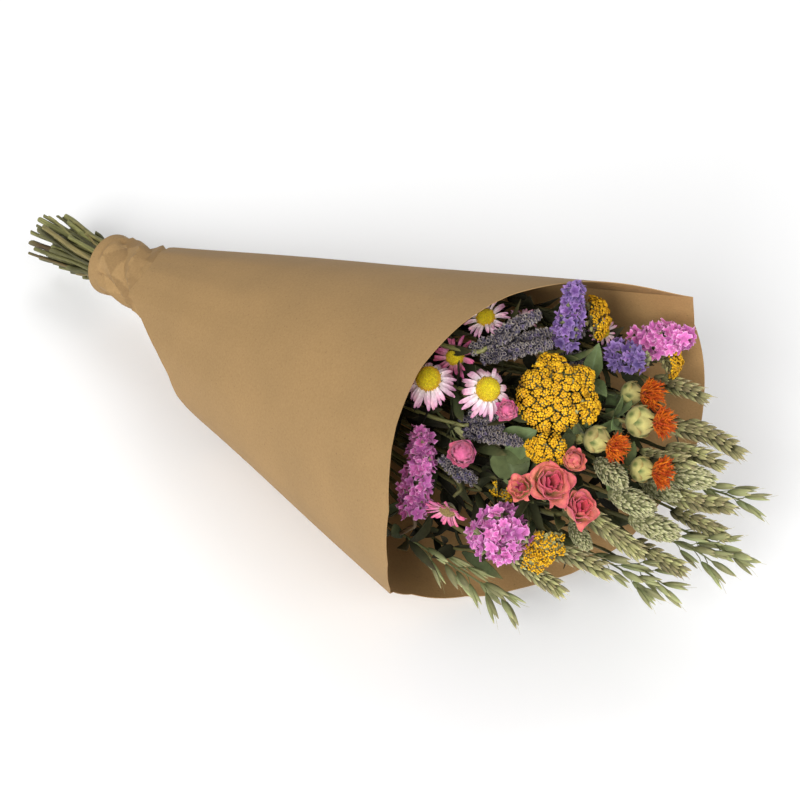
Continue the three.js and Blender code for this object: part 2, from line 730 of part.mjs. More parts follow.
    form: {
      spikes: [[[-5, -1, 8], [-10, -3, 31], 4.4], [[5, -3, 8], [7, -7, 34], 4.2], [[1, 7, 9], [2, 9, 33], 4]],
    },
  },
  {
    name: "lavender_mid", branch: "lavender_top", kind: lavender, colour: "lavender",
    at: [24, 62, 10], facing: [0.9, 0.1, 0.4], deep: 22,
    form: { spikes: [[[4, 0, 4], [6, 0, 24], 3.6], [[-4, 1, 4], [-9, 2, 18], 3.2]] },
  },
  {
    name: "lavender_low", kind: lavender, colour: "lavender",
    at: [-22, 20, 29], facing: [0.9, -0.1, 0.4], deep: 30,
    form: { spikes: [[[4, 0, 5], [6, -2, 31], 4.4], [[-5, 0, 4], [-12, 2, 25], 4]] },
  },
  {
    name: "lavender_left", branch: "lavender_low", kind: lavender, colour: "lavender",
    at: [-38, -5, 24], facing: [-0.6, 0.5, 0.6], deep: 24,
    form: { spikes: [[[-3, 0, 4], [-4, 1, 25], 3.8], [[4, 0, 4], [10, 0, 19], 3.4]] },
  },
  {
    name: "statice_purple_top", kind: statice, colour: "statice_purple",
    at: [19, 79, 38], facing: [0.15, 0.8, 0.6], deep: 34,
    form: {
      path: [[0, 0, 0], [1, 0, 12], [0, 1, 24], [0, 0, 34]], radius: 7.5, florets: 7, seed: 53,
      size: 5.6,
    },
  },
  {
    name: "statice_purple_mid", kind: statice, colour: "statice_purple",
    at: [51, 58, 20], facing: [0.6, -0.1, 0.8], deep: 24,
    form: {
      path: [[0, 0, 0], [0, 1, 8], [1, 0, 16], [0, 0, 24]], radius: 10, florets: 7, seed: 59,
      size: 5.8,
    },
  },
  {
    name: "yarrow_top", kind: yarrow, colour: "yarrow",
    at: [40, 79, 12], facing: [0.9, 0.1, 0.4], deep: 12,
    form: { radius: 12, rings: 4, lobes: [[-10, 3, 6]] },
  },
  {
    name: "yarrow_side", branch: "yarrow_top", kind: yarrow, colour: "yarrow",
    at: [82, 58, -10], facing: [0.95, 0.1, 0.25], deep: 12,
    form: { radius: 12, rings: 4, lobes: [[4, 9, 6]] },
  },
  {
    name: "yarrow_front", kind: yarrow, colour: "yarrow",
    at: [9, -42, 22], facing: [-0.1, -0.45, 0.85], deep: 14,
    form: { radius: 11, rings: 4, lobes: [[1, -14, 8]] },
  },
  {
    name: "yarrow_low", branch: "yarrow_front", kind: yarrow, colour: "yarrow",
    at: [-13, -13, 10], facing: [0, -0.1, 1], deep: 9,
    form: { radius: 8, rings: 3, lobes: [] },
  },
  {
    name: "statice_pink_low", branch: "statice_pink_front", kind: statice, colour: "statice_pink",
    at: [-26, -38, -6], facing: [0.1, 0.6, 0.7], deep: 20,
    form: {
      path: [[0, 0, 0], [0, 1, 7], [1, 0, 14], [0, 0, 20]], radius: 6, florets: 5, seed: 67,
      size: 5.2,
    },
  },
  {
    name: "canary_a", kind: canary, colour: "grass",
    at: [42, -4, 27], facing: [0.45, -0.4, 0.85], deep: 30,
    form: { length: 30, radius: 7.4 },
  },
  {
    name: "canary_b", kind: canary, colour: "grass",
    at: [55, -20, 24], facing: [0.7, -0.25, 0.6], deep: 31,
    form: { length: 31, radius: 7.6 },
  },
  {
    name: "canary_c", kind: canary, colour: "grass",
    at: [68, -34, 18], facing: [0.8, -0.25, 0.5], deep: 32,
    form: { length: 32, radius: 7.6 },
  },
  {
    name: "canary_d", kind: canary, colour: "grass",
    at: [88, -7, 6], facing: [0.85, -0.15, 0.45], deep: 34,
    form: { length: 34, radius: 7.6 },
  },
  {
    name: "wheat_a", kind: wheat, colour: "wheat",
    at: [86, 40, -9], facing: [0.65, -0.24, 0.7], deep: 42,
    form: { length: 42, radius: 5.6, spikelets: 8 },
  },
  {
    name: "wheat_b", kind: wheat, colour: "wheat",
    at: [102, 13, 4], facing: [0.62, -0.36, 0.7], deep: 46,
    form: { length: 46, radius: 5.8, spikelets: 8 },
  },
  {
    name: "wheat_c", kind: wheat, colour: "wheat",
    at: [93, 3, 0], facing: [0.72, -0.2, 0.66], deep: 42,
    form: { length: 42, radius: 5.6, spikelets: 8 },
  },
  {
    name: "wheat_d", kind: wheat, colour: "wheat",
    at: [96, -21, 0], facing: [0.78, -0.12, 0.62], deep: 44,
    form: { length: 44, radius: 5.8, spikelets: 8 },
  },
  {
    name: "wheat_e", kind: wheat, colour: "wheat",
    at: [46, -38, 10], facing: [0.72, -0.55, 0.5], deep: 46,
    form: { length: 46, radius: 5.8, spikelets: 8 },
  },
  {
    name: "wheat_f", kind: wheat, colour: "wheat",
    at: [29, -53, 12], facing: [0.75, -0.3, 0.6], deep: 44,
    form: { length: 44, radius: 5.6, spikelets: 8 },
  },
  {
    name: "wheat_g", kind: wheat, colour: "wheat",
    at: [6, -61, 2], facing: [0.65, -0.42, 0.64], deep: 42,
    form: { length: 42, radius: 5.4, spikelets: 8 },
  },
  {
    name: "wheat_h", kind: wheat, colour: "wheat",
    at: [72, -51, 6], facing: [0.66, -0.36, 0.66], deep: 42,
    form: { length: 42, radius: 5.4, spikelets: 8 },
  },
  {
    name: "oats_left", kind: oats, colour: "oat",
    at: [-42, -59, -22], facing: [0.75, -0.5, 0.25], deep: 76,
    form: {
      path: [[0, 0, 0], [2, 3, 26], [0, 3, 52], [-3, 0, 76]], branches: 7, seed: 71, husks: 15,
      droop: vec(0.4, -0.3, 0.2),
    },
  },
  {
    name: "oats_right", kind: oats, colour: "oat",
    at: [98, -44, -4], facing: [0.7, -0.35, 0.55], deep: 44,
    form: {
      path: [[0, 0, 0], [1, 2, 15], [0, 2, 30], [0, 0, 44]], branches: 7, seed: 73, husks: 14,
      droop: vec(-0.3, 0.4, 0.2),
    },
  },
  {
    name: "oats_low", branch: "oats_right", kind: oats, colour: "oat",
    at: [44, -56, 2], facing: [0.7, -0.45, 0.5], deep: 46,
    form: {
      path: [[0, 0, 0], [1, 2, 16], [0, 2, 32], [0, 0, 46]], branches: 5, seed: 79, husks: 15,
      droop: vec(0.2, 0.4, 0.2),
    },
  },
  {
    name: "leaf_right", branch: "thistle_low_globe", kind: leafSpray, colour: "leaf",
    at: [32, 47, 17], facing: [-0.1, 0.5, 1], deep: 14,
    form: {
      widths: LANCE, breadth: 0.5, leaves: [[20, 40, 22, 1.5], [130, 55, 20, 2], [250, 50, 20, 1.5]],
    },
  },
];

const onFace = ([across, up, out]) =>
  new THREE.Vector3().addScaledVector(ACROSS, across).addScaledVector(UP, up).addScaledVector(OUT, out);

// Straight interpolation in a list of [angle, value], both in rising order.
function along(list, degrees) {
  const next = list.findIndex(([at]) => at >= degrees);
  if (next <= 0) return list[0][1];
  const [a, from] = list[next - 1];
  const [b, to] = list[next];
  return lerp(from, to, (degrees - a) / (b - a));
}

// The place at a distance along the cone's axis and an angle round it, with the underside pressed flat.
function onCone(distance, degrees, inset) {
  const turn = THREE.MathUtils.degToRad(degrees);
  const full = distance * Math.tan(HALF_ANGLE) - inset;
  const floor = FLAT_DEPTH + inset * Math.cos(HALF_ANGLE);
  const fall = -Math.cos(turn) * Math.cos(HALF_ANGLE);
  const pressed = fall > 0 ? (distance * Math.sin(HALF_ANGLE) - floor) / fall : full;
  const radius = Math.min(full, pressed);
  return new THREE.Vector3()
    .addScaledVector(AXIS, distance)
    .addScaledVector(LIFT, Math.cos(turn) * radius)
    .addScaledVector(SIDE, Math.sin(turn) * radius);
}

// A shell between an outer and an inner surface, each a list of rings, closed at both edges.
function shell(outer, inner) {
  const sides = outer[0].length;
  const rows = outer.length;
  const points = outer.flat().concat(inner.flat());
  const depth = rows * sides;
  const triangles = [];
  const quad = (a, b, c, d) => triangles.push([a, b, c], [a, c, d]);
  for (let j = 0; j < sides; j++) {
    const next = (j + 1) % sides;
    for (let i = 0; i + 1 < rows; i++) {
      const a = i * sides + j;
      const b = i * sides + next;
      quad(a, b, b + sides, a + sides);
      quad(depth + a, depth + a + sides, depth + b + sides, depth + b);
    }
    const last = (rows - 1) * sides;
    quad(depth + j, depth + next, next, j);
    quad(last + j, last + next, depth + last + next, depth + last + j);
  }
  return solid(points, triangles);
}

// The rolled sheet, from its stem-end edge to its mouth.
function sleeve() {
  const ring = (share, inset) =>
    Array.from({ length: COLUMNS }, (_, j) => {
      const degrees = -180 + (360 * j) / COLUMNS;
      const distance = lerp(along(STEM_EDGE, degrees), along(MOUTH_EDGE, degrees), share);
      return onCone(distance, degrees, inset);
    });
  const shares = [0, 1];
  return shell(shares.map((s) => ring(s, 0)), shares.map((s) => ring(s, PAPER)));
}

// The middle of the tied bunch at a distance along the cone's axis.
function bunchCentre(distance) {
  const share = 1 - THREE.MathUtils.smoothstep(distance, NECK_END, FUNNEL_END);
  return new THREE.Vector3()
    .addScaledVector(AXIS, distance)
    .addScaledVector(LIFT, NECK_LIFT * share)
    .addScaledVector(SIDE, NECK_ASIDE * share);
}

// The gathered neck: the sheet pleated in from the sleeve's wall and drawn tight round the stems.
function neck() {
  const sides = PLEATS * 2;
  const stations = [
    [NECK_START, NECK_RADIUS + 0.4, 0.5],
    [WAIST, NECK_RADIUS - 1.6, 1],
    [NECK_END, NECK_RADIUS + 0.8, 1],
    [188, NECK_RADIUS + 5.5, 1],
    [225, NECK_RADIUS + 20, 0.8],
    [FUNNEL_END, 0, 0],
  ];
  const ring = (inset) =>
    stations.map(([distance, radius, pleat]) =>
      Array.from({ length: sides }, (_, j) => {
        const degrees = -180 + (360 * j) / sides;
        if (!radius) return onCone(distance, degrees, PAPER * 0.25 + inset);
        const turn = THREE.MathUtils.degToRad(degrees);
        const fold = pleat * PLEAT_DEPTH * (j % 2 ? 0.5 : -0.5) * (1 + 0.4 * Math.sin(5 * turn));
        const r = radius + fold - inset;
        return bunchCentre(distance)
          .addScaledVector(LIFT, Math.cos(turn) * r)
          .addScaledVector(SIDE, Math.sin(turn) * r);
      }),
    );
  return shell(ring(0), ring(PAPER));
}

// Each head's own solid in the bouquet's frame, with its foot and its facing.
function setHead(head) {
  const facing = onFace(head.facing).normalize();
  const middle = AXIS.clone().multiplyScalar(FACE_AT).add(onFace(head.at));
  const foot = middle.addScaledVector(facing, -head.deep / 2);
  const pieces = [{ name: head.name, colour: head.colour, local: head.kind(head.form) }];
  if (head.disc) pieces.push({ name: head.disc, colour: "disc", local: daisyDisc(head.form) });
  if (head.tuft) {
    const tuft = moved(thistleTuft(head.tuft), 0, 0, head.form.radius * GLOBE_LENGTH + GAP);
    pieces.push({ name: head.tuft.name, colour: "thistle_orange", local: tuft });
  }
  const rise = -Math.min(...pieces.map((piece) => piece.local.boundingBox().min[2]));
  pieces.forEach((piece) => (piece.local = moved(piece.local, 0, 0, rise)));
  return { ...head, facing, foot, pieces, rise };
}

function posed(piece, foot, facing) {
  return aimed(piece.local, foot, facing);
}

const boxesMeet = (a, b) =>
  [0, 1, 2].every((k) => a.min[k] - GAP < b.max[k] && b.min[k] - GAP < a.max[k]);

// Each head slides along the line of sight, as little as it needs, until it is clear of those already set.
function settle(heads, wall) {
  const placed = [{ body: wall, box: wall.boundingBox() }];
  for (const head of heads) {
    const start = head.foot.clone();
    let done = false;
    for (let step = 0; step < SLIDE_TRIES && !done; step++) {
      const slide = Math.ceil(step / 2) * (step % 2 ? SLIDE_STEP : -SLIDE_STEP);
      const foot = start.clone().addScaledVector(OUT, slide);
      const bodies = head.pieces.map((piece) => posed(piece, foot, head.facing));
      const clear = bodies.every((body) => {
        const box = body.boundingBox();
        return placed.every((other) => !boxesMeet(box, other.box) || body.minGap(other.body, 1) > GAP);
      });
      if (!clear) continue;
      head.foot = foot;
      bodies.forEach((body) => placed.push({ body, box: body.boundingBox() }));
      done = true;
    }
    if (!done) throw new Error(head.name + " finds no room");
  }
  return placed;
}

// The upper part of a stem: it leaves the bunch, bends and runs straight to its head's foot. Where petals or
// florets hang lower than the foot, the stem's end is sunk in among them by a share of their depth.
function upperStem(head, start, bow, sunk) {
  const top = head.foot.clone().addScaledVector(head.facing, head.rise * sunk - SEAT);
  const last = top.clone().addScaledVector(head.facing, -STRAIGHT_END);
  const knee = top.clone().addScaledVector(head.facing, -KNEE_OUT).addScaledVector(AXIS, -KNEE_BACK).add(bow);
  const middle = start.clone().lerp(knee, 0.55).add(bow);
  return [middle, knee, last, top];
}

// Evenly spread places in the tied waist. Each goes to the nearest head still without one, outer heads first.
function waistSlots(heads) {
  const count = heads.length;
  const free = heads.map((_, i) => {
    const share = Math.sqrt((i + 0.5) / count);
    return { share, turn: i * GOLDEN, up: Math.cos(i * GOLDEN) * share, side: Math.sin(i * GOLDEN) * share };
  });
  const wishes = heads.map((head) => ({
    head, up: head.foot.dot(LIFT) / HEADS_SPREAD, side: head.foot.dot(SIDE) / HEADS_SPREAD,
  }));
  wishes.sort((a, b) => Math.hypot(b.up, b.side) - Math.hypot(a.up, a.side));
  const slots = new Map();
  for (const wish of wishes) {
    const far = (slot) => Math.hypot(slot.up - wish.up, slot.side - wish.side);
    const best = free.reduce((a, b) => (far(b) < far(a) ? b : a));
    free.splice(free.indexOf(best), 1);
    slots.set(wish.head.name, best);
  }
  return slots;
}

// A whole stem: a cut end below the tie, its place in the tied waist, and the bend up to its head.
function wholeStem(index, { share, turn }, head, bow, sunk) {
  const around = (distance, radius, angle) =>
    bunchCentre(distance)
      .addScaledVector(LIFT, Math.cos(angle) * radius)
      .addScaledVector(SIDE, Math.sin(angle) * radius);
  const cut = lerp(CUT_NEAREST, CUT_FURTHEST, (index * 0.618) % 1);
  const reach = (WAIST - cut) / (WAIST - CUT_NEAREST);
  const end = around(cut, WAIST_RADIUS * share * lerp(1, SPLAY, reach), turn + 0.5 * reach);
  const waist = around(WAIST, WAIST_RADIUS * share * 0.92, turn);
  return [end, waist, ...upperStem(head, waist, bow, sunk)];
}

const stemRadius = (index) => STEM_RADIUS * (0.86 + 0.28 * ((index * 0.37) % 1));

// Bows a stem sideways, a little more each time, until it passes clear of every head.
function clearWay(index, head, placed, route) {
  const radius = stemRadius(index);
  for (const sunk of [1, 0.5, 0]) {
    for (let tries = 0; tries < BOW_TRIES; tries++) {
      const size = BOW_STEP * Math.ceil(tries / 6);
      const turn = (TURN * tries) / 6 + index;
      const bow = new THREE.Vector3()
        .addScaledVector(LIFT, Math.cos(turn) * size)
        .addScaledVector(SIDE, Math.sin(turn) * size);
      const points = route(bow, sunk);
      const body = rod(points, (t) => radius * (1 - 0.35 * t), STEM_SIDES);
      const box = body.boundingBox();
      const far = (other) => !boxesMeet(box, other.box) || body.minGap(other.body, 1) > STEM_GAP;
      if (placed.every(far)) return { body, points };
    }
  }
  throw new Error("no way through for the stem of " + head.name);
}

// Every stem of the bunch: the whole ones, and the side stems that branch from another head's stem.
function bunch(heads, placed) {
  const whole = heads.filter((head) => !head.branch);
  const routes = new Map();
  const slots = waistSlots(whole);
  const bodies = whole.map((head, i) => {
    const slot = slots.get(head.name);
    const stem = clearWay(i, head, placed, (bow, sunk) => wholeStem(i, slot, head, bow, sunk));
    routes.set(head.name, stem.points);
    return stem.body;
  });
  heads.filter((head) => head.branch).forEach((head, i) => {
    const fork = routes.get(head.branch)[2];
    const stem = clearWay(i, head, placed, (bow, sunk) => [fork, ...upperStem(head, fork, bow, sunk)]);
    bodies.push(stem.body);
  });
  const ring = (distance) =>
    Array.from({ length: PRESSED_SIDES }, (_, j) =>
      bunchCentre(distance)
        .addScaledVector(LIFT, Math.cos((TURN * j) / PRESSED_SIDES) * WAIST_RADIUS * PRESSED_SHARE)
        .addScaledVector(SIDE, Math.sin((TURN * j) / PRESSED_SIDES) * WAIST_RADIUS * PRESSED_SHARE),
    );
  const below = WAIST - PRESSED / 2;
  const above = WAIST + PRESSED / 2;
  bodies.push(loft([ring(below), ring(above)], bunchCentre(below), bunchCentre(above)));
  return fuse(bodies);
}

// A cord of raffia wound once round the bunch under the gathered neck.
function tie() {
  const steps = 20;
  const sides = 4;
  const centre = bunchCentre(WAIST);
  const radius = WAIST_RADIUS + STEM_RADIUS + TIE_RADIUS * 0.7;
  const points = [];
  const triangles = [];
  for (let i = 0; i < steps; i++) {
    const turn = (TURN * i) / steps;
    const outwards = LIFT.clone().multiplyScalar(Math.cos(turn)).addScaledVector(SIDE, Math.sin(turn));
    for (let j = 0; j < sides; j++) {
      const around = (TURN * (j + 0.5)) / sides;
      const place = centre.clone().addScaledVector(outwards, radius + Math.cos(around) * TIE_RADIUS);
      points.push(place.addScaledVector(AXIS, Math.sin(around) * TIE_RADIUS * 2.2));
      const a = i * sides + j;
      const b = i * sides + ((j + 1) % sides);
      const c = ((i + 1) % steps) * sides + ((j + 1) % sides);
      const d = ((i + 1) % steps) * sides + j;
      triangles.push([a, b, c], [a, c, d]);
    }
  }
  return solid(points, triangles);
}

function geometryOf(body) {
  const mesh = body.getMesh();
  const geometry = new THREE.BufferGeometry();
  geometry.setAttribute("position", new THREE.BufferAttribute(mesh.vertProperties, 3));
  geometry.setIndex(new THREE.BufferAttribute(mesh.triVerts, 1));
  geometry.computeVertexNormals();
  return geometry;
}

function meshOf(name, body, colour) {
  const rough = colour === "paper" ? 0.75 : 0.85;
  const material = new THREE.MeshStandardMaterial({ color: COLOURS[colour], roughness: rough, metalness: 0 });
  const mesh = new THREE.Mesh(geometryOf(body), material);
  mesh.name = name;
  return mesh;
}

const bouquet = new THREE.Group();
const wrap = fuse([sleeve(), neck()]);
bouquet.add(meshOf("paper_wrap", wrap, "paper"));

const heads = HEADS.map(setHead);
const placed = settle(heads, wrap);
for (const head of heads) {
  const turn = new THREE.Quaternion().setFromUnitVectors(vec(0, 0, 1), head.facing);
  for (const piece of head.pieces) {
    const mesh = meshOf(piece.name, piece.local, piece.colour);
    mesh.position.copy(head.foot);
    mesh.quaternion.copy(turn);
    bouquet.add(mesh);
  }
}

bouquet.add(meshOf("stems", bunch(heads, placed), "stem"));
bouquet.add(meshOf("stem_tie", tie(), "tie"));

// The origin is on the floor, under the middle of the whole bouquet.
const box = new THREE.Box3().setFromObject(bouquet);
const middle = box.getCenter(new THREE.Vector3());
bouquet.position.set(-middle.x, -middle.y, -box.min.z);

export default bouquet;
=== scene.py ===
"""Looks of a mixed bouquet of dried field flowers, rolled in a cone of kraft paper."""

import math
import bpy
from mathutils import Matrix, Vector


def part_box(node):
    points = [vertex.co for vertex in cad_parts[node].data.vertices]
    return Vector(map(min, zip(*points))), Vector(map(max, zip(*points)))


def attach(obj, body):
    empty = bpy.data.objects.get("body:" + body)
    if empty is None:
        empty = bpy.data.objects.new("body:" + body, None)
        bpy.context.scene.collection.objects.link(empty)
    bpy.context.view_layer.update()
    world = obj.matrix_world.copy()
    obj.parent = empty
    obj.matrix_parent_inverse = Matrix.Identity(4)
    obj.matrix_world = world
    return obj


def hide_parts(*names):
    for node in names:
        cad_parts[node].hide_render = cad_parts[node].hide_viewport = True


bl_info = {
    "name": "Wrapped Bouquet Looks",
    "version": (1, 0, 0),
    "blender": (4, 5, 0),
    "location": "View3D > Sidebar > Bouquet",
    "description": "Builds the flowers, stems and paper of a wrapped bouquet round its CAD frame",
    "category": "Object",
}

import bpy
import numpy as np
from bpy.props import FloatProperty, FloatVectorProperty, IntProperty, PointerProperty
from mathutils import Vector

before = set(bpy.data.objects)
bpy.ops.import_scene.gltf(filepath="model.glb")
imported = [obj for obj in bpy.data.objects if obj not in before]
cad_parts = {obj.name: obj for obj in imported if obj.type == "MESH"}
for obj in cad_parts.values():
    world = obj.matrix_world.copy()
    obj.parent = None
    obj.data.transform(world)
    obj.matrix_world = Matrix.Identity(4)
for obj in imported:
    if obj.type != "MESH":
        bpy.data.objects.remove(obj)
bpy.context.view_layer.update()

MM = 0.001
TURN = 2 * math.pi
GOLDEN = 2.39996

# The cone of paper. Millimetres and degrees, from the cone's ideal apex on the floor.
HALF_ANGLE = math.radians(12.5)
FLAT_DEPTH = 2.2
# the sheet's two edges: degrees round the cone and distance along it
MOUTH_EDGE = (
    (-180, 461), (-160, 440), (-138, 429), (-124, 433), (-108, 449), (-90, 461), (-70, 465), (-45, 456),
    (-27, 454), (-9, 459), (9, 468), (27, 487), (40, 501), (56, 522), (70, 514), (115, 510), (150, 490),
    (180, 461),
)
STEM_EDGE = (
    (-180, 262), (-140, 262), (-102, 244), (-85, 239), (-71, 227), (-40, 186), (-14, 191), (30, 176),
    (90, 188), (140, 226), (180, 262),
)
# the sheet's creases along the cone: place and width in degrees, height as a share of the radius
CREASES = ((56, 6, 0.04), (-116, 4, 0.016), (-52, 3, 0.008), (2, 3, 0.006))
# the creases start above the neck and are full near the mouth
CREASE_START = 280
CREASE_END = 440
# the least height of the sheet above the floor at its neck
FLOOR_GAP = 0.3

# The neck, its crumples and the bunch inside it.
NECK_START = 131
NECK_END = 164
NECK_RADIUS = 20.5
NECK_LIFT = 15
NECK_ASIDE = 3.5
FUNNEL_END = 272
HEM = 9
HEM_ROLL = 2.2
WAIST = 146
WAIST_RADIUS = 13.6
# distances along the neck and the funnel, and the sheet's radius at each
NECK_STATIONS = (
    (NECK_START, WAIST, NECK_END, 188, 225, FUNNEL_END),
    (NECK_RADIUS, 18.9, 21.0, 26.0, 40.5, 57.6),
)
# the crumples: how many facets round and along the neck, and how long and high they are
FACET_COLUMNS = 10
FACET_ROWS = 9
FACET_LENGTH = 13
FACET_HEIGHT = 3.2
# the cut ends of the stems, and how far they spread beyond the waist
CUT_NEAREST = 64
CUT_FURTHEST = 108
SPLAY = 1.5
STEM_RADIUS = 1.75
TIE_RADIUS = 1.1
# the stem of each head and its two twins: width, and turn round the waist
TWINS = ((1, 0), (0.75, 0.9), (0.55, -1.1))
TWIN_LAG = 45
# where a stem turns to its head: back from the head, then back along the cone
KNEE_OUT = 14
KNEE_BACK = 30
HEADS_SPREAD = 95

# The flower heads.
DISC_SHARE = 0.39
CUP_SHARE = 0.34
# the way down in the picture, as an angle in the frame of a head that faces the camera
DOWNWARD = -0.86
# yarrow that shows as loose knobs and not as one dome
KNOBBED = ("yarrow_front", "yarrow_low")

# The face of the bouquet, set out as it is seen from above its mouth: across, up and out.
FACE_AT = 475
FACE_AZIMUTH = math.radians(40.7)
FACE_ELEVATION = math.radians(46.6)
AXIS = np.array([math.cos(HALF_ANGLE), 0, math.sin(HALF_ANGLE)])
LIFT = np.array([-math.sin(HALF_ANGLE), 0, math.cos(HALF_ANGLE)])
SIDE = np.array([0.0, 1.0, 0.0])
OUT = np.array([
    math.sin(FACE_AZIMUTH) * math.cos(FACE_ELEVATION),
    -math.cos(FACE_AZIMUTH) * math.cos(FACE_ELEVATION),
    math.sin(FACE_ELEVATION),
])
ACROSS = np.array([math.cos(FACE_AZIMUTH), math.sin(FACE_AZIMUTH), 0])
UP = np.cross(OUT, ACROSS)

# The camera, in the same millimetres.
VIEW_TARGET = (347.2, 27.6, 50.7)
VIEW_DISTANCE = 1300
VIEW_LENS = 98.3
# The floor and the lights, in metres. Each light has a place from the camera's target, a size and a power.
FLOOR_SIZE = 12
LIGHTS = (
    ("key_light", (0.9, -3.0, 2.3), 1.8, 132),
    ("fill_light", (2.8, -0.4, 1.8), 2.4, 34),
    ("back_light", (-1.2, 2.0, 3.2), 2.4, 34),
)


def unit(v):
    """A vector of length one."""
    v = np.asarray(v, float)
    return v / np.linalg.norm(v)


def smooth(x, low, high):
    """A soft step from 0 at low to 1 at high."""
    t = np.clip((np.asarray(x, float) - low) / (high - low), 0, 1)
    return t * t * (3 - 2 * t)


def on_face(place):
    """A place or direction across, up and out of the face, in the frame's axes."""
    return ACROSS * place[0] + UP * place[1] + OUT * place[2]


def turn_to(direction):
    """The shortest turn from +Z to a direction, as a 3 by 3 array."""
    return np.array(Vector((0, 0, 1)).rotation_difference(Vector(unit(direction))).to_matrix())


def turn_z(angle):
    c, s = math.cos(angle), math.sin(angle)
    return np.array([[c, -s, 0], [s, c, 0], [0, 0, 1]])


def turn_x(angle):
    c, s = math.cos(angle), math.sin(angle)
    return np.array([[1, 0, 0], [0, c, -s], [0, s, c]])


def dice(seed):
    """A seeded source of random draws."""
    return np.random.default_rng(seed)


def polar(angle, radius, height=0.0):
    """A point round the Z axis."""
    return math.cos(angle) * radius, math.sin(angle) * radius, height


def tones(shares, draw, mark):
    """A tone for each point: its share along the petal, the petal's draw and a mark."""
    tone = np.zeros((len(shares), 3))
    tone[:, 0], tone[:, 1], tone[:, 2] = shares, draw, mark
    return tone


class Form:
    """Points, faces and tones of a piece, gathered before it becomes a mesh.

    A tone is three numbers a point: how far along its petal or husk it lies, a draw for each petal
    or husk, and a mark that each finish uses in its own way."""

    def __init__(self):
        self.points = []
        self.faces = []
        self.tones = []
        self.count = 0

    def add(self, points, faces, tone):
        """Adds points with their arrays of faces and their tones."""
        self.faces.extend([part + self.count for part in faces])
        self.points.append(points)
        self.tones.append(tone)
        self.count += len(points)

    def copies(self, pattern, turns, places, draws, marks=0.0):
        """Copies of a pattern (points, face arrays, lengthways shares), each turned and placed."""
        points, faces, shares = pattern
        turns = np.asarray(turns, float)
        places = np.asarray(places, float)
        number, size = len(places), len(points)
        spread = np.einsum("kij,nj->kni", turns, points) + places[:, None, :]
        tone = np.zeros((number, size, 3))
        tone[:, :, 0] = shares
        tone[:, :, 1] = np.asarray(draws)[:, None]
        tone[:, :, 2] = np.broadcast_to(np.asarray(marks, float).reshape(-1, 1), (number, 1))
        offsets = (np.arange(number) * size)[:, None, None]
        placed = [(part[None] + offsets).reshape(-1, part.shape[1]) for part in faces]
        self.add(spread.reshape(-1, 3), placed, tone.reshape(-1, 3))

    def once(self, pattern, draw, mark=0.0, turn=np.eye(3), place=(0, 0, 0)):
        """One copy of a pattern."""
        self.copies(pattern, [turn], [place], [draw], [mark])

    def strand(self, path, radii, sides, draw, low=0.0, high=1.0, mark=0.0):
        """A tube along a path, whose lengthways shares run from low to high."""
        points, faces, shares = tube(path, radii, sides)
        self.add(points, faces, tones(low + (high - low) * shares, draw, mark))

    def sheet(self, rows, thickness, draw, marks=0.0):
        """A thin blade through rows of points."""
        points, faces, shares = blade(rows, thickness)
        self.add(points, faces, tones(shares, draw, marks))

    def moved(self, turn, place):
        """This form, turned and placed."""
        out = Form()
        out.add(np.concatenate(self.points) @ np.asarray(turn).T + np.asarray(place), self.faces,
                np.concatenate(self.tones))
        return out

    def join(self, other):
        """Adds all of another form."""
        self.add(np.concatenate(other.points), other.faces, np.concatenate(other.tones))


def span(low, high, count):
    """Evenly spaced numbers, both ends included."""
    return np.linspace(low, high, count)


def ringed(rings, foot, tip, flip=False):
    """Points and faces through closed rings of points, with a point at each end."""
    rows, sides = len(rings), len(rings[0])
    start = rows * sides
    quads = grid_faces(rows, sides, closed=True)
    ends = np.concatenate([
        fan(0, sides, start, flip=not flip),
        fan((rows - 1) * sides, sides, start + 1, flip=flip),
    ])
    return np.concatenate([*rings, [foot], [tip]]), [quads[:, ::-1] if flip else quads, ends]


def grid_faces(rows, columns, closed=False):
    """Quads between the rows of a grid of points, closed round or open."""
    i, j = np.meshgrid(np.arange(rows - 1), np.arange(columns if closed else columns - 1), indexing="ij")
    a = i * columns + j
    b = i * columns + (j + 1) % columns
    return np.stack([a, b, b + columns, a + columns], -1).reshape(-1, 4)


def fan(first, ring, tip, flip):
    """Triangles from a ring of points, which starts at first, to a tip."""
    j = np.arange(ring)
    a = first + j
    b = first + (j + 1) % ring
    ends = np.full(ring, tip)
    return np.stack([b, a, ends] if flip else [a, b, ends], -1)


def lobed(profile, sides, lobes=0):
    """A turned form whose rings may wave: each ring is (radius, height, wave in the radius, lift)."""
    angle = np.arange(sides) * TURN / sides
    swing = np.cos(lobes * angle)
    rings = []
    for radius, height, wave, lift in profile:
        r = radius * (1 + wave * swing)
        rings.append(np.stack([np.cos(angle) * r, np.sin(angle) * r, height + lift * swing], -1))
    points, faces = ringed(rings, (0, 0, profile[0][1]), (0, 0, profile[-1][1]))
    return points, faces, np.concatenate([np.repeat(span(0, 1, len(profile)), sides), [0, 1]])


def turned(profile, sides):
    """A plain turned form: each ring is (radius, height)."""
    return lobed([(radius, height, 0, 0) for radius, height in profile], sides)


def stretched(pattern, x, y, z):
    """A pattern scaled along each axis."""
    points, faces, shares = pattern
    return points * np.array([x, y, z]), faces, shares


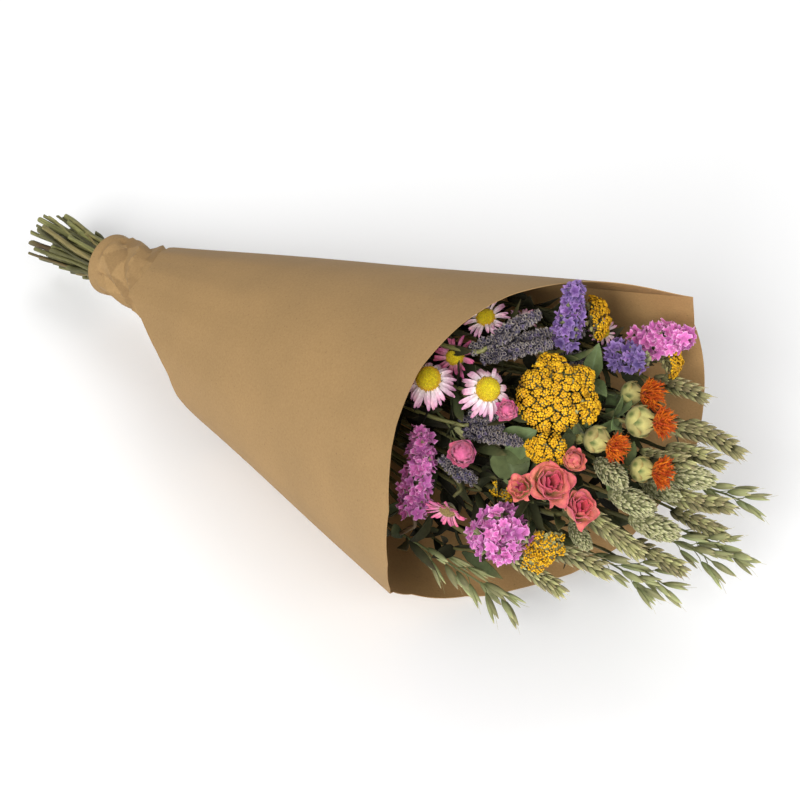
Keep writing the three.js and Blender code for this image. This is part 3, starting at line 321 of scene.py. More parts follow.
def blade(rows, thickness):
    """A thin blade through rows of points, closed all round, with its lengthways shares."""
    rows = np.asarray(rows, float)
    count, width, _ = rows.shape
    down = np.gradient(rows, axis=0)
    aside = np.gradient(rows, axis=1)
    normal = np.cross(aside, down)
    size = np.linalg.norm(normal, axis=-1, keepdims=True)
    normal = normal / np.maximum(size, 1e-9) * thickness / 2
    top = (rows + normal).reshape(-1, 3)
    bottom = (rows - normal).reshape(-1, 3)
    total = count * width
    quads = grid_faces(count, width)
    rim = np.concatenate([
        np.arange(width),
        np.arange(1, count) * width + width - 1,
        (count - 1) * width + np.arange(width - 2, -1, -1),
        np.arange(count - 2, 0, -1) * width,
    ])
    after = np.roll(rim, -1)
    edge = np.stack([rim, rim + total, after + total, after], -1)
    shares = np.tile(np.repeat(span(0, 1, count), width), 2)
    return np.concatenate([top, bottom]), [np.concatenate([quads, quads[:, ::-1] + total, edge])], shares


def tube(path, radii, sides):
    """A tube along a path of points, with a radius for each, closed at both ends."""
    path = np.asarray(path, float)
    radii = np.broadcast_to(np.asarray(radii, float), (len(path),))
    forward = np.gradient(path, axis=0)
    forward /= np.maximum(np.linalg.norm(forward, axis=1, keepdims=True), 1e-9)
    normal = np.cross(forward[0], [0, 0, 1.0])
    if np.linalg.norm(normal) < 1e-3:
        normal = np.array([1.0, 0, 0])
    rings = []
    angle = np.arange(sides) * TURN / sides
    for centre, ahead, radius in zip(path, forward, radii):
        normal = unit(normal - ahead * (normal @ ahead))
        binormal = np.cross(ahead, normal)
        rings.append(centre + radius * (np.cos(angle)[:, None] * normal + np.sin(angle)[:, None] * binormal))
    points, faces = ringed(rings, path[0], path[-1], flip=True)
    return points, faces, np.concatenate([np.repeat(span(0, 1, len(path)), sides), [0, 1]])


def bezier(points, count):
    """A smooth line through a short list of points, with a number of steps between two of them."""
    points = np.asarray(points, float)
    padded = np.concatenate([[2 * points[0] - points[1]], points, [2 * points[-1] - points[-2]]])
    line = []
    for i in range(1, len(padded) - 2):
        a, b, c, d = padded[i - 1:i + 3]
        last = i == len(padded) - 3
        for t in span(0, 1, count + 1)[:None if last else -1]:
            bend = (2 * a - 5 * b + 4 * c - d) * t * t + (3 * b - a - 3 * c + d) * t ** 3
            line.append(0.5 * (2 * b + (c - a) * t + bend))
    return np.array(line)


def sunflower(radius, count):
    """Evenly spread places in a disc."""
    i = np.arange(count)
    r = radius * np.sqrt((i + 0.5) / count)
    return np.stack([r * np.cos(i * GOLDEN), r * np.sin(i * GOLDEN)], -1), r / radius


def turns_to(directions, spins):
    """A turn for each direction, with a spin about it."""
    return np.array([turn_to(d) @ turn_z(a) for d, a in zip(directions, spins)])


# The heads, as in the solids: name, place and facing on the face, depth and form, all in millimetres.
# A head with a branch grows from the knee of another head's stem.
HEADS = (
    dict(name="yarrow_main", at=(10, 36, 38), facing=(0.05, 0.1, 1), deep=20,
         radius=19.5, lobes=((-17, 19, 8.5), (8, 27, 8.5), (25, 12, 9)), seed=101),
    dict(name="rose_large", at=(9, -9, 46), facing=(0.4, 0.3, 0.9), deep=16, radius=11, whorls=4, seed=3),
    dict(name="daisy_a_petals", at=(-54, 44, 26), facing=(-0.15, 0.22, 1), deep=9,
         radius=17, petals=34, cup=0.1, droop=0.5, dome=0.5, hang=1.0, seed=5, disc="daisy_a_disc"),
    dict(name="daisy_b_petals", at=(-27, 39, 40), facing=(0.22, 0.1, 1), deep=9,
         radius=16.5, petals=32, cup=-0.1, droop=0.75, dome=1.35, hang=0.5, seed=8, disc="daisy_b_disc"),
    dict(name="daisy_c", at=(-24, 79, 16), facing=(-0.2, 0.5, 0.85), deep=8,
         radius=13.5, petals=20, cup=0.3, seed=11),
    dict(name="yarrow_lower", at=(8, 8, 34), facing=(-0.05, -0.35, 1), deep=14,
         radius=11, lobes=((-9, -4, 6),), seed=102, branch="yarrow_main"),
    dict(name="statice_pink_left", at=(-61, -8, 12), facing=(0.12, 1, 0.35), deep=46,
         path=((0, 0, 0), (-2, 1, 16), (1, 0, 32), (-1, 0, 46)), radius=9.5, florets=104, size=3.5, seed=21),
    dict(name="statice_pink_front", at=(-15, -35, 24), facing=(-0.1, -0.25, 1), deep=20,
         path=((0, 0, 0), (1, 1, 8), (-1, 0, 15), (0, 0, 20)), radius=19, florets=118, size=3.8,
         gap=(7.6, 6.5, 4.2), seed=33),
    dict(name="statice_pink_far", at=(67, 67, 10), facing=(0.72, 0.05, 0.6), deep=32,
         path=((0, 0, 0), (2, 2, 11), (0, 1, 22), (0, 0, 32)), radius=10.5, florets=86, size=3.4, seed=47),
    dict(name="rose_right", at=(25, -22, 42), facing=(0.5, 0.3, 0.8), deep=15, radius=9.8, whorls=4, seed=4),
    dict(name="rose_left", at=(-5, -12, 38), facing=(-0.45, 0.2, 0.9), deep=12,
         radius=7.5, whorls=3, seed=6, branch="rose_large"),
    dict(name="rose_bud", at=(22, 3, 38), facing=(0.2, 0.3, 1), deep=13,
         radius=5.2, length=13, seed=7, branch="rose_large"),
    dict(name="leaf_heart", at=(-13, 9, 24), facing=(0, 0.15, 1), deep=14, outline="heart",
         breadth=0.95, leaves=((-126, 80, 23), (-62, 66, 18), (-20, 56, 20)), seed=12, branch="rose_right"),
    dict(name="thistle_front_globe", at=(61, 23, 26), facing=(0.85, -0.05, 0.5), deep=17, radius=8.6, seed=61,
         tuft=("thistle_front_tuft", 7.3, 12.5)),
    dict(name="thistle_low_globe", at=(36, 13, 29), facing=(0.85, -0.38, 0.5), deep=15, radius=7.6, seed=62,
         tuft=("thistle_low_tuft", 7, 12)),
    dict(name="thistle_side_globe", at=(62, -3, 22), facing=(0.9, -0.15, 0.45), deep=14, radius=7, seed=63,
         tuft=("thistle_side_tuft", 7.5, 12), branch="thistle_front_globe"),
    dict(name="thistle_back_globe", at=(59, 38, 8), facing=(0.8, -0.05, 0.5), deep=15, radius=6.6, seed=64,
         tuft=("thistle_back_tuft", 8, 14), branch="thistle_front_globe"),
    dict(name="thistle_closed", at=(26, 16, 14), facing=(-0.2, 0.25, 1), deep=12, radius=5, seed=65,
         branch="thistle_low_globe"),
    dict(name="daisy_bud_hot", at=(-14, 29, 52), facing=(-0.3, 0.2, 0.9), deep=10,
         radius=4.6, length=10, seed=15, branch="daisy_b_petals"),
    dict(name="daisy_bud_pink", at=(-37, 7, 34), facing=(-0.2, -0.2, 1), deep=13,
         radius=6.4, length=13, seed=16, branch="daisy_turned"),
    dict(name="daisy_turned", at=(-42, -19, 18), facing=(-0.35, -0.7, 0.5), deep=9,
         radius=12.5, petals=18, cup=0.75, seed=27),
    dict(name="daisy_behind", at=(-40, 57, 14), facing=(-0.2, 0.3, 0.9), deep=8,
         radius=13, petals=18, cup=0.3, seed=31, branch="daisy_a_petals"),
    dict(name="daisy_top", at=(-3, 80, 8), facing=(0.1, 0.75, 0.6), deep=7,
         radius=9.5, petals=14, cup=0.6, seed=37, branch="daisy_c"),
    dict(name="daisy_far", at=(41, 72, -4), facing=(0.1, 0.1, 1), deep=7,
         radius=9, petals=14, cup=0.4, seed=41),
    dict(name="lavender_top", at=(-12, 66, 30), facing=(0.9, 0.25, 0.3), deep=30, seed=81,
         spikes=(((-5, -1, 4), (-10, -3, 31), 4.6), ((5, -3, 2), (7, -7, 34), 4.4),
                 ((1, 7, 5), (2, 9, 33), 4.2), ((-1, 1, -14), (-3, 3, 12), 4.4),
                 ((6, 5, -10), (5, 1, 12), 4))),
    dict(name="lavender_mid", at=(24, 62, 10), facing=(0.9, 0.1, 0.4), deep=22, seed=82,
         spikes=(((4, 0, 2), (6, 0, 24), 4), ((-4, 1, -4), (-9, 2, 18), 3.8)), branch="lavender_top"),
    dict(name="lavender_low", at=(-22, 20, 29), facing=(0.9, -0.1, 0.4), deep=30, seed=83,
         spikes=(((4, 0, -4), (6, -2, 31), 4.4), ((-5, 0, 0), (-12, 2, 25), 4.2),
                 ((0, 4, -8), (1, 4, 18), 4))),
    dict(name="lavender_left", at=(-38, -5, 24), facing=(-0.6, 0.5, 0.6), deep=24, seed=84,
         spikes=(((-3, 0, 4), (-4, 1, 25), 3.8), ((4, 0, 4), (10, 0, 19), 3.4)), branch="lavender_low"),
    dict(name="statice_purple_top", at=(19, 79, 38), facing=(0.15, 0.8, 0.6), deep=34,
         path=((0, 0, 0), (1, 0, 12), (0, 1, 24), (0, 0, 34)), radius=8, florets=84, size=2.8, seed=53),
    dict(name="statice_purple_mid", at=(51, 58, 20), facing=(0.6, -0.1, 0.8), deep=24,
         path=((0, 0, 0), (0, 1, 8), (1, 0, 16), (0, 0, 24)), radius=10, florets=72, size=2.9,
         gap=(1.6, 2.7, 4.6), seed=59),
    dict(name="yarrow_top", at=(40, 79, 12), facing=(0.9, 0.1, 0.4), deep=12,
         radius=12, lobes=((-10, 3, 6),), seed=103),
    dict(name="yarrow_side", at=(82, 58, -10), facing=(0.95, 0.1, 0.25), deep=12,
         radius=12, lobes=((4, 9, 6),), seed=104, branch="yarrow_top"),
    dict(name="yarrow_front", at=(9, -42, 22), facing=(-0.1, -0.45, 0.85), deep=14,
         radius=11, lobes=((1, -14, 8),), seed=105),
    dict(name="yarrow_low", at=(-13, -13, 10), facing=(0, -0.1, 1), deep=9, radius=8, lobes=(), seed=106,
         branch="yarrow_front"),
    dict(name="statice_pink_low", at=(-26, -38, -6), facing=(0.1, 0.6, 0.7), deep=20,
         path=((0, 0, 0), (0, 1, 7), (1, 0, 14), (0, 0, 20)), radius=7, florets=46, size=3.1, seed=67,
         branch="statice_pink_front"),
    dict(name="canary_a", at=(42, -4, 27), facing=(0.45, -0.4, 0.85), deep=30, radius=7.4, seed=91),
    dict(name="canary_b", at=(55, -20, 24), facing=(0.7, -0.25, 0.6), deep=31, radius=7.6, seed=92),
    dict(name="canary_c", at=(68, -34, 18), facing=(0.8, -0.25, 0.5), deep=32, radius=7.6, seed=93),
    dict(name="canary_d", at=(88, -7, 6), facing=(0.85, -0.15, 0.45), deep=34, radius=7.6, seed=94),
    dict(name="wheat_a", at=(86, 40, -9), facing=(0.65, -0.24, 0.7), deep=42, radius=5.6, seed=111),
    dict(name="wheat_b", at=(102, 13, 4), facing=(0.62, -0.36, 0.7), deep=46, radius=5.8, seed=112),
    dict(name="wheat_c", at=(93, 3, 0), facing=(0.72, -0.2, 0.66), deep=42, radius=5.6, seed=113),
    dict(name="wheat_d", at=(96, -21, 0), facing=(0.78, -0.12, 0.62), deep=44, radius=5.8, seed=114),
    dict(name="wheat_e", at=(46, -38, 10), facing=(0.72, -0.55, 0.5), deep=46, radius=5.8, seed=115),
    dict(name="wheat_f", at=(29, -53, 12), facing=(0.75, -0.3, 0.6), deep=44, radius=5.6, seed=116),
    dict(name="wheat_g", at=(6, -61, 2), facing=(0.65, -0.42, 0.64), deep=42, radius=5.4, seed=117),
    dict(name="wheat_h", at=(72, -51, 6), facing=(0.66, -0.36, 0.66), deep=42, radius=5.4, seed=118),
    dict(name="oats_left", at=(-42, -59, -22), facing=(0.75, -0.5, 0.25), deep=76, husks=16, branches=14,
         path=((0, 0, 0), (2, 3, 26), (0, 3, 52), (-3, 0, 76)), droop=(0.4, -0.3, 0.2), seed=71),
    dict(name="oats_right", at=(98, -44, -4), facing=(0.7, -0.35, 0.55), deep=44, husks=15, branches=11,
         path=((0, 0, 0), (1, 2, 15), (0, 2, 30), (0, 0, 44)), droop=(-0.3, 0.4, 0.2), seed=73),
    dict(name="oats_low", at=(44, -56, 2), facing=(0.7, -0.45, 0.5), deep=46, husks=15, branches=9,
         path=((0, 0, 0), (1, 2, 16), (0, 2, 32), (0, 0, 46)), droop=(0.2, 0.4, 0.2), seed=79,
         branch="oats_right"),
    dict(name="leaf_right", at=(32, 47, 17), facing=(-0.1, 0.5, 1), deep=14, outline="lance",
         breadth=0.5, leaves=((20, 40, 22), (130, 55, 20), (250, 50, 20)), seed=13,
         branch="thistle_low_globe"),
)

# Ears and sprays between the heads, which stand for no solid of their own.
FILLING = (
    dict(name="wheat_back_a", at=(74, 3, 4), facing=(0.75, -0.1, 0.6), deep=38, radius=5.2, seed=121,
         branch="wheat_c"),
    dict(name="wheat_back_b", at=(84, -17, -8), facing=(0.7, -0.3, 0.6), deep=42, radius=5.4, seed=122,
         branch="wheat_d"),
    dict(name="wheat_back_c", at=(95, -33, -6), facing=(0.7, -0.35, 0.55), deep=40, radius=5.2, seed=123,
         branch="wheat_h"),
    dict(name="wheat_back_d", at=(84, 20, -8), facing=(0.7, -0.25, 0.6), deep=40, radius=5.2, seed=124,
         branch="wheat_b"),
    dict(name="wheat_back_e", at=(36, -30, 2), facing=(0.6, -0.5, 0.6), deep=38, radius=5.2, seed=125,
         branch="wheat_e"),
    dict(name="canary_back_a", at=(72, -14, -2), facing=(0.7, -0.3, 0.6), deep=28, radius=6.4, seed=95,
         branch="canary_b"),
    dict(name="canary_back_b", at=(27, -39, 14), facing=(0.4, -0.6, 0.7), deep=22, radius=5.6, seed=96,
         branch="canary_a"),
    dict(name="oats_back_a", at=(104, -16, -6), facing=(0.75, -0.3, 0.5), deep=36, husks=14, branches=8,
         path=((0, 0, 0), (1, 1, 12), (0, 1, 24), (0, 0, 36)), droop=(0.2, 0.4, 0.2), seed=75,
         branch="oats_right"),
    dict(name="oats_back_b", at=(84, -46, -4), facing=(0.75, -0.35, 0.5), deep=40, husks=15, branches=9,
         path=((0, 0, 0), (1, 2, 14), (0, 2, 28), (0, 0, 40)), droop=(0.3, 0.2, 0.2), seed=76,
         branch="oats_right"),
    dict(name="oats_back_c", at=(60, -58, 0), facing=(0.7, -0.4, 0.5), deep=34, husks=14, branches=7,
         path=((0, 0, 0), (1, 1, 12), (0, 1, 24), (0, 0, 34)), droop=(0.2, 0.3, 0.2), seed=77,
         branch="oats_right"),
    dict(name="oats_back_d", at=(-46, 22, 8), facing=(0.5, -0.7, 0.5), deep=22, husks=13, branches=4,
         path=((0, 0, 0), (1, 1, 8), (0, 1, 15), (0, 0, 22)), droop=(0.2, -0.3, 0.2), seed=78,
         branch="daisy_a_petals"),
)


def facing_of(head):
    """The direction that a head faces."""
    return unit(on_face(head["facing"]))


def foot_of(head):
    """The place where a head sits on its stalk."""
    return AXIS * FACE_AT + on_face(head["at"]) - facing_of(head) * head["deep"] / 2


def heads_named(start):
    return [head for head in HEADS if head["name"].startswith(start)]


def along(edge, degrees):
    """How far along the cone an edge of the sheet lies at some degrees round it."""
    return np.interp(degrees, [d for d, _ in edge], [s for _, s in edge])


def bunch_centre(distance):
    """The middle of the bunch, lifted off the cone's axis within the neck."""
    share = 1 - smooth(distance, NECK_END, FUNNEL_END)
    return AXIS * distance + (LIFT * NECK_LIFT + SIDE * NECK_ASIDE) * share


def crease(degrees, place, width):
    """A crease along the cone: a sharp ridge with a shallow dip on each side of it."""
    away = np.abs(degrees - place)
    return np.exp(-away / width) - 0.5 * np.exp(-away / (3 * width))


def shift():
    """From the cone's apex to the origin of the frame, along X."""
    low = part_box("paper_wrap")[0][0] / MM
    top = bunch_centre(NECK_START) + LIFT * (NECK_RADIUS + 0.4)
    return np.array([low - top[0], 0.0, 0.0])


SHIFT = shift()


def make_piece(form, name, nodes, material, smooth_angle=60):
    """Turns a form into a mesh, in metres in the frame, and tells the frame what it stands for."""
    points = np.concatenate(form.points) + SHIFT
    mesh = bpy.data.meshes.new(name)
    mesh.vertices.add(len(points))
    mesh.vertices.foreach_set("co", (points * MM).astype(np.float32).ravel())
    corners = np.concatenate([part.ravel() for part in form.faces])
    widths = np.concatenate([np.full(len(part), part.shape[1]) for part in form.faces])
    mesh.loops.add(len(corners))
    mesh.loops.foreach_set("vertex_index", corners.astype(np.int32))
    mesh.polygons.add(len(widths))
    starts = np.concatenate([[0], np.cumsum(widths)[:-1]])
    mesh.polygons.foreach_set("loop_start", starts.astype(np.int32))
    mesh.update(calc_edges=True)
    mesh.validate()
    channels = np.ones((len(points), 4), np.float32)
    channels[:, :3] = np.concatenate(form.tones)
    layer = mesh.color_attributes.new("tone", "FLOAT_COLOR", "POINT")
    layer.data.foreach_set("color", channels.ravel())
    mesh.shade_smooth()
    mesh.set_sharp_from_angle(angle=math.radians(smooth_angle))
    mesh.materials.append(material)
    piece = bpy.data.objects.new(name, mesh)
    bpy.context.scene.collection.objects.link(piece)
    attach(piece, "root")
    if nodes:
        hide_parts(*nodes)
    return piece


def seating(head, *forms):
    """The turn and place that set a head on its foot, level with the solid that it stands for."""
    turn, facing, foot = turn_to(facing_of(head)), facing_of(head), foot_of(head)
    points = np.concatenate([part for form in forms for part in form.points]) @ turn.T + foot + SHIFT
    low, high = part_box(head["name"])
    centre = (np.array(low) + np.array(high)) / 2 / MM
    return turn, foot + facing * ((centre - (points.min(0) + points.max(0)) / 2) @ facing)


def set_head(head, *dressed):
    """Places a head's forms, each with its label and finish; the slot given with each is not used. The first
    stands for the solid.
    """
    seat = seating(head, *[form for form, *_ in dressed])
    nodes = [head["name"]]
    for form, label, slot, finish in dressed:
        make_piece(form.moved(*seat), head["name"] + "_" + label, nodes, finish)
        nodes = []


# Finishes. Each reads the tone of a point: R lengthways, G a draw for each petal or husk, B a mark.
def new_material(name):
    """A material with nothing in it but a shader."""
    material = bpy.data.materials.new(name)
    material.use_nodes = True
    nodes = material.node_tree.nodes
    nodes.clear()
    out = nodes.new("ShaderNodeOutputMaterial")
    shader = nodes.new("ShaderNodeBsdfPrincipled")
    material.node_tree.links.new(shader.outputs["BSDF"], out.inputs["Surface"])
    return material, shader


def node(material, kind, **settings):
    """A new node, with its sockets or its properties set."""
    made = material.node_tree.nodes.new(kind)
    for key, value in settings.items():
        if key in made.inputs:
            made.inputs[key].default_value = value
        else:
            setattr(made, key, value)
    return made


def link(material, source, target):
    material.node_tree.links.new(source, target)


def tone_channels(material):
    """The three channels of the tone that a mesh carries."""
    reader = node(material, "ShaderNodeAttribute", attribute_name="tone")
    parts = node(material, "ShaderNodeSeparateColor")
    link(material, reader.outputs["Color"], parts.inputs["Color"])
    return parts.outputs


def ramp(material, source, stops):
    """A colour for each value of a source, through stops of (value, colour)."""
    made = node(material, "ShaderNodeValToRGB")
    elements = made.color_ramp.elements
    while len(elements) < len(stops):
        elements.new(0.5)
    for element, (place, colour) in zip(elements, stops):
        element.position = place
        element.color = (*colour, 1)
    link(material, source, made.inputs["Fac"])
    return made.outputs["Color"]


def noise(material, scale, detail=3.0, stretch=None):
    """Cloudy noise in the piece's own space, drawn out where stretch says so."""
    place = node(material, "ShaderNodeTexCoord")
    made = node(material, "ShaderNodeTexNoise", Scale=scale, Detail=detail)
    if stretch is None:
        link(material, place.outputs["Object"], made.inputs["Vector"])
    else:
        mapping = node(material, "ShaderNodeMapping", Scale=stretch)
        link(material, place.outputs["Object"], mapping.inputs["Vector"])
        link(material, mapping.outputs["Vector"], made.inputs["Vector"])
    return made.outputs["Fac"]


def remap(material, source, low, high, to_low, to_high):
    """A source taken from one range to another."""
    made = node(material, "ShaderNodeMapRange")
    for key, value in (("From Min", low), ("From Max", high), ("To Min", to_low), ("To Max", to_high)):
        made.inputs[key].default_value = value
    link(material, source, made.inputs["Value"])
    return made.outputs["Result"]


def blend_colour(material, factor, first, second, mode="MIX"):
    """Two colours blended, where each may be a value or another node's output."""
    made = node(material, "ShaderNodeMix", data_type="RGBA", blend_type=mode)
    for value, index in ((factor, 0), (first, 6), (second, 7)):
        if hasattr(value, "links"):
            link(material, value, made.inputs[index])
        elif index == 0:
            made.inputs[0].default_value = value
        else:
            made.inputs[index].default_value = (*value, 1)
    return made.outputs[2]


def times(material, first, second):
    """Two colours multiplied."""
    return blend_colour(material, 1.0, first, second, "MULTIPLY")


def vary(material, colour, draw, spread, hue):
    """Makes each petal or husk a little lighter or darker, and turns its hue a little."""
    made = node(material, "ShaderNodeHueSaturation")
    link(material, colour, made.inputs["Color"])
    link(material, remap(material, draw, 0, 1, 1 - spread, 1 + spread), made.inputs["Value"])
    link(material, remap(material, draw, 0, 1, 0.5 - hue, 0.5 + hue), made.inputs["Hue"])
    return made.outputs["Color"]


def rough_up(material, shader, source, strength, depth):
    """Fine relief on a surface, finer than the mesh."""
    bump = node(material, "ShaderNodeBump", Strength=strength, Distance=depth)
    link(material, source, bump.inputs["Height"])
    link(material, bump.outputs["Normal"], shader.inputs["Normal"])


def plant_finish(name, stops, spread=0.18, hue=0.012, fine=900, roughness=0.7, soft=0.12, mark=None,
                 streak=None, strength=0.35):
    """A dry petal, husk or leaf: lengthways colours, a draw for each, fine mottling, and a soft edge."""
    material, shader = new_material(name)
    red, green, blue = tone_channels(material)
    colour = ramp(material, red, stops)
    if mark:
        place, tint = mark
        share = remap(material, blue, place[0], place[1], 0, 1)
        colour = blend_colour(material, share, colour, tint)
    colour = vary(material, colour, green, spread, hue)
    grain = noise(material, fine, 4.0, streak)
    shade = remap(material, grain, 0.3, 0.7, 0.78, 1.16)
    scale = node(material, "ShaderNodeCombineColor")
    for channel in ("Red", "Green", "Blue"):
        link(material, shade, scale.inputs[channel])
    colour = times(material, colour, scale.outputs["Color"])
    link(material, colour, shader.inputs["Base Color"])
    shader.inputs["Roughness"].default_value = roughness
    shader.inputs["Specular IOR Level"].default_value = 0.25
    shader.inputs["Sheen Weight"].default_value = soft
    shader.inputs["Sheen Roughness"].default_value = 0.5
    rough_up(material, shader, grain, strength, 0.0004)
    return material


def paper_finish(name, outer, inner):
    """Kraft paper: fibres, flecks and faint clouds, painted light and shade on each crumple facet, and a
    lighter brown inside as painted light.
    """
    material, shader = new_material(name)
    _, green, blue = tone_channels(material)
    # the inside of the sheet is a lighter brown than the outside: painted light
    colour = blend_colour(material, blue, outer, inner)
    cloud = remap(material, noise(material, 22, 5.0), 0.3, 0.7, 0, 1)
    fibre = noise(material, 800)
    fleck = noise(material, 900, 2.0)
    for source, stops in (
        (cloud, ((0, (0.93, 0.93, 0.93)), (1, (1.05, 1.04, 1.03)))),
        # painted light and shade: each crumple facet lighter or darker by its draw
        (green, ((0, (0.80, 0.78, 0.76)), (0.5, (1, 1, 1)), (1, (1.18, 1.19, 1.20)))),
        (fibre, ((0.3, (0.93, 0.92, 0.90)), (0.7, (1.06, 1.06, 1.06)))),
    ):
        colour = times(material, colour, ramp(material, source, stops))
    dark = remap(material, fleck, 0.66, 0.74, 0, 0.5)
    colour = blend_colour(material, dark, colour, (0.16, 0.09, 0.045))
    link(material, colour, shader.inputs["Base Color"])
    shader.inputs["Roughness"].default_value = 0.72
    shader.inputs["Specular IOR Level"].default_value = 0.3
    rough_up(material, shader, fibre, 0.18, 0.0003)
    return material


def stem_finish(name, greens, browns):
    """Dry stems: green to brown by a draw for each stem, ribbed lengthways, pale at the cut."""
    material, shader = new_material(name)
    _, green, blue = tone_channels(material)
    colour = ramp(material, green, (
        (0.0, greens[0]), (0.35, greens[1]), (0.62, greens[2]), (0.82, browns[0]), (1.0, browns[1]),
    ))
    colour = blend_colour(material, blue, colour, (0.30, 0.29, 0.13))
    rib = noise(material, 900, stretch=(0.08, 1.0, 1.0))
    ribbed = ramp(material, rib, ((0.35, (0.62, 0.64, 0.58)), (0.65, (1.15, 1.15, 1.08))))
    colour = times(material, colour, ribbed)
    link(material, colour, shader.inputs["Base Color"])
    shader.inputs["Roughness"].default_value = 0.6
    rough_up(material, shader, rib, 0.5, 0.0005)
    return material


class BouquetSizes(bpy.types.PropertyGroup):
    petal: FloatProperty(
        name="Petal thickness", description="Thickness of petals and leaves in millimetres",
        default=0.22, min=0.1,
    )
    floret_spacing: FloatProperty(
        name="Yarrow florets", description="Distance between yarrow florets in millimetres",
        default=1.42, min=1.0,
    )
    calyx: FloatProperty(
        name="Lavender calyx", description="Length of a lavender calyx in millimetres", default=3.0, min=1.0,
    )
    paper: FloatProperty(
        name="Paper", description="Thickness of the sheet in millimetres", default=0.35, min=0.1, max=0.8,
    )
    wrap_columns: IntProperty(
        name="Paper columns", description="Facets round the paper cone", default=180, min=40,
    )
    wrap_rows: IntProperty(
        name="Paper rows", description="Facets along the paper cone", default=40, min=10,
    )


def tint(name, description, default):
    return FloatVectorProperty(
        name=name, description=description, default=default, subtype="COLOR", size=3, min=0, max=1,
    )


class BouquetColours(bpy.types.PropertyGroup):
    paper_outer: tint("Paper outside", "Kraft paper, the side that shows", (0.325, 0.203, 0.085))
    # the inside colour is lighter than the outside: painted light inside the cone
    paper_inner_painted_light: tint("Paper inside", "Kraft paper, inside of the cone", (0.44, 0.265, 0.11))
    yarrow: tint("Yarrow", "Florets of the yarrow", (0.66, 0.335, 0.004))
    petal_pale: tint("Pale petals", "Tips of the everlasting daisies", (0.74, 0.42, 0.54))
    petal_hot: tint("Hot petals", "Buds and turned daisies", (0.62, 0.10, 0.25))
    disc: tint("Disc", "Middle of the daisies", (0.82, 0.64, 0.008))
    statice_pink: tint("Pink statice", "Papery florets", (0.64, 0.15, 0.46))
    statice_purple: tint("Purple statice", "Papery florets", (0.14, 0.065, 0.26))
    lavender: tint("Lavender", "Rims of the calyces", (0.235, 0.205, 0.245))
    rose: tint("Rose", "Rims of the rose petals", (0.68, 0.13, 0.15))
    globe: tint("Safflower bracts", "Bracts of the globes", (0.38, 0.36, 0.13))
    tuft: tint("Safflower tuft", "Orange florets", (0.55, 0.085, 0.004))
    grass: tint("Canary grass", "Husks of the egg-shaped heads", (0.44, 0.43, 0.22))
    wheat: tint("Wheat", "Husks of the ears", (0.31, 0.29, 0.13))
    oat: tint("Oats", "Nodding husks", (0.26, 0.265, 0.12))
    leaf: tint("Leaves", "Upper side of the leaves", (0.115, 0.15, 0.055))
    stem: tint("Stems", "Green of the stems", (0.115, 0.108, 0.036))


def sizes():
    return bpy.context.scene.bouquet_sizes


def colour(name, scale=1.0):
    return tuple(min(1.0, c * scale) for c in getattr(bpy.context.scene.bouquet_colours, name))


# Paper wrap.
def on_cone(distance, degrees, inset):
    """Points on the cone, pressed flat along the underside, with creases where the sheet is folded."""
    turn = np.radians(degrees)
    full = distance * math.tan(HALF_ANGLE) - inset
    rise = sum(height * crease(degrees, place, width) for place, width, height in CREASES)
    full = full * (1 + rise * smooth(distance, CREASE_START, CREASE_END))
    floor = FLAT_DEPTH + inset * math.cos(HALF_ANGLE)
    fall = -np.cos(turn) * math.cos(HALF_ANGLE)
    pressed = np.where(fall > 1e-3, (distance * math.sin(HALF_ANGLE) - floor) / np.maximum(fall, 1e-3), full)
    return round_axis(distance[..., None] * AXIS, turn, np.minimum(full, pressed))


def round_axis(centres, turn, radius):
    """Grids of points round centres in the bunch, from the top."""
    return centres + (np.cos(turn) * radius)[..., None] * LIFT + (np.sin(turn) * radius)[..., None] * SIDE


def paper_form(outer, inner, draws):
    """Two grids of points, outside and inside, as one sheet with a draw for each point, which the finish
    turns into painted light and shade.
    """
    form = Form()
    points = np.concatenate([outer.reshape(-1, 3), inner.reshape(-1, 3)])
    inside = np.repeat((0, 1), draws.size)
    tone = tones(np.zeros(len(points)), np.tile(draws.ravel(), 2), inside)
    form.add(points, [shell_faces(*draws.shape)], tone)
    return form


def shell_faces(rows, columns):
    """Faces of two equal closed grids, one inside the other, joined at both edges."""
    outer = grid_faces(rows, columns, closed=True)
    total = rows * columns
    j = np.arange(columns)
    after = (j + 1) % columns
    last = (rows - 1) * columns
    first_rim = np.stack([j, j + total, after + total, after], -1)
    last_rim = np.stack([last + j, last + after, last + after + total, last + j + total], -1)
    return np.concatenate([outer[:, ::-1], outer + total, first_rim[:, ::-1], last_rim[:, ::-1]])


def sleeve_form():
    """The cone of paper, from its slanted edge round the neck to its mouth, with dents and soft folds."""
    columns, rows = sizes().wrap_columns, sizes().wrap_rows
    degrees = -180 + 360 * np.arange(columns) / columns
    start, mouth = along(STEM_EDGE, degrees), along(MOUTH_EDGE, degrees)
    distance = start + (mouth - start) * span(0, 1, rows)[:, None]
    angle = np.broadcast_to(degrees, distance.shape)
    turn = np.radians(angle)
    dents = 0.45 + 0.45 * np.sin(3 * turn + 0.013 * distance) * np.sin(0.021 * distance + 1.7 * np.cos(turn))
    folds = np.abs(((angle / 31 + 0.35 * np.sin(1.3 * turn + 0.5)) % 1) - 0.5)
    dents = dents + 1.5 * smooth(distance, 400, 230) * folds
    # the sheet is even where it lies on the floor and at its mouth
    dents = dents * smooth(np.cos(turn), -0.93, -0.8) * smooth(mouth - distance, 0, 60)
    outer = on_cone(distance, angle, dents)
    inner = on_cone(distance, angle, dents + sizes().paper)
    return paper_form(outer, inner, np.full(distance.shape, 0.5))


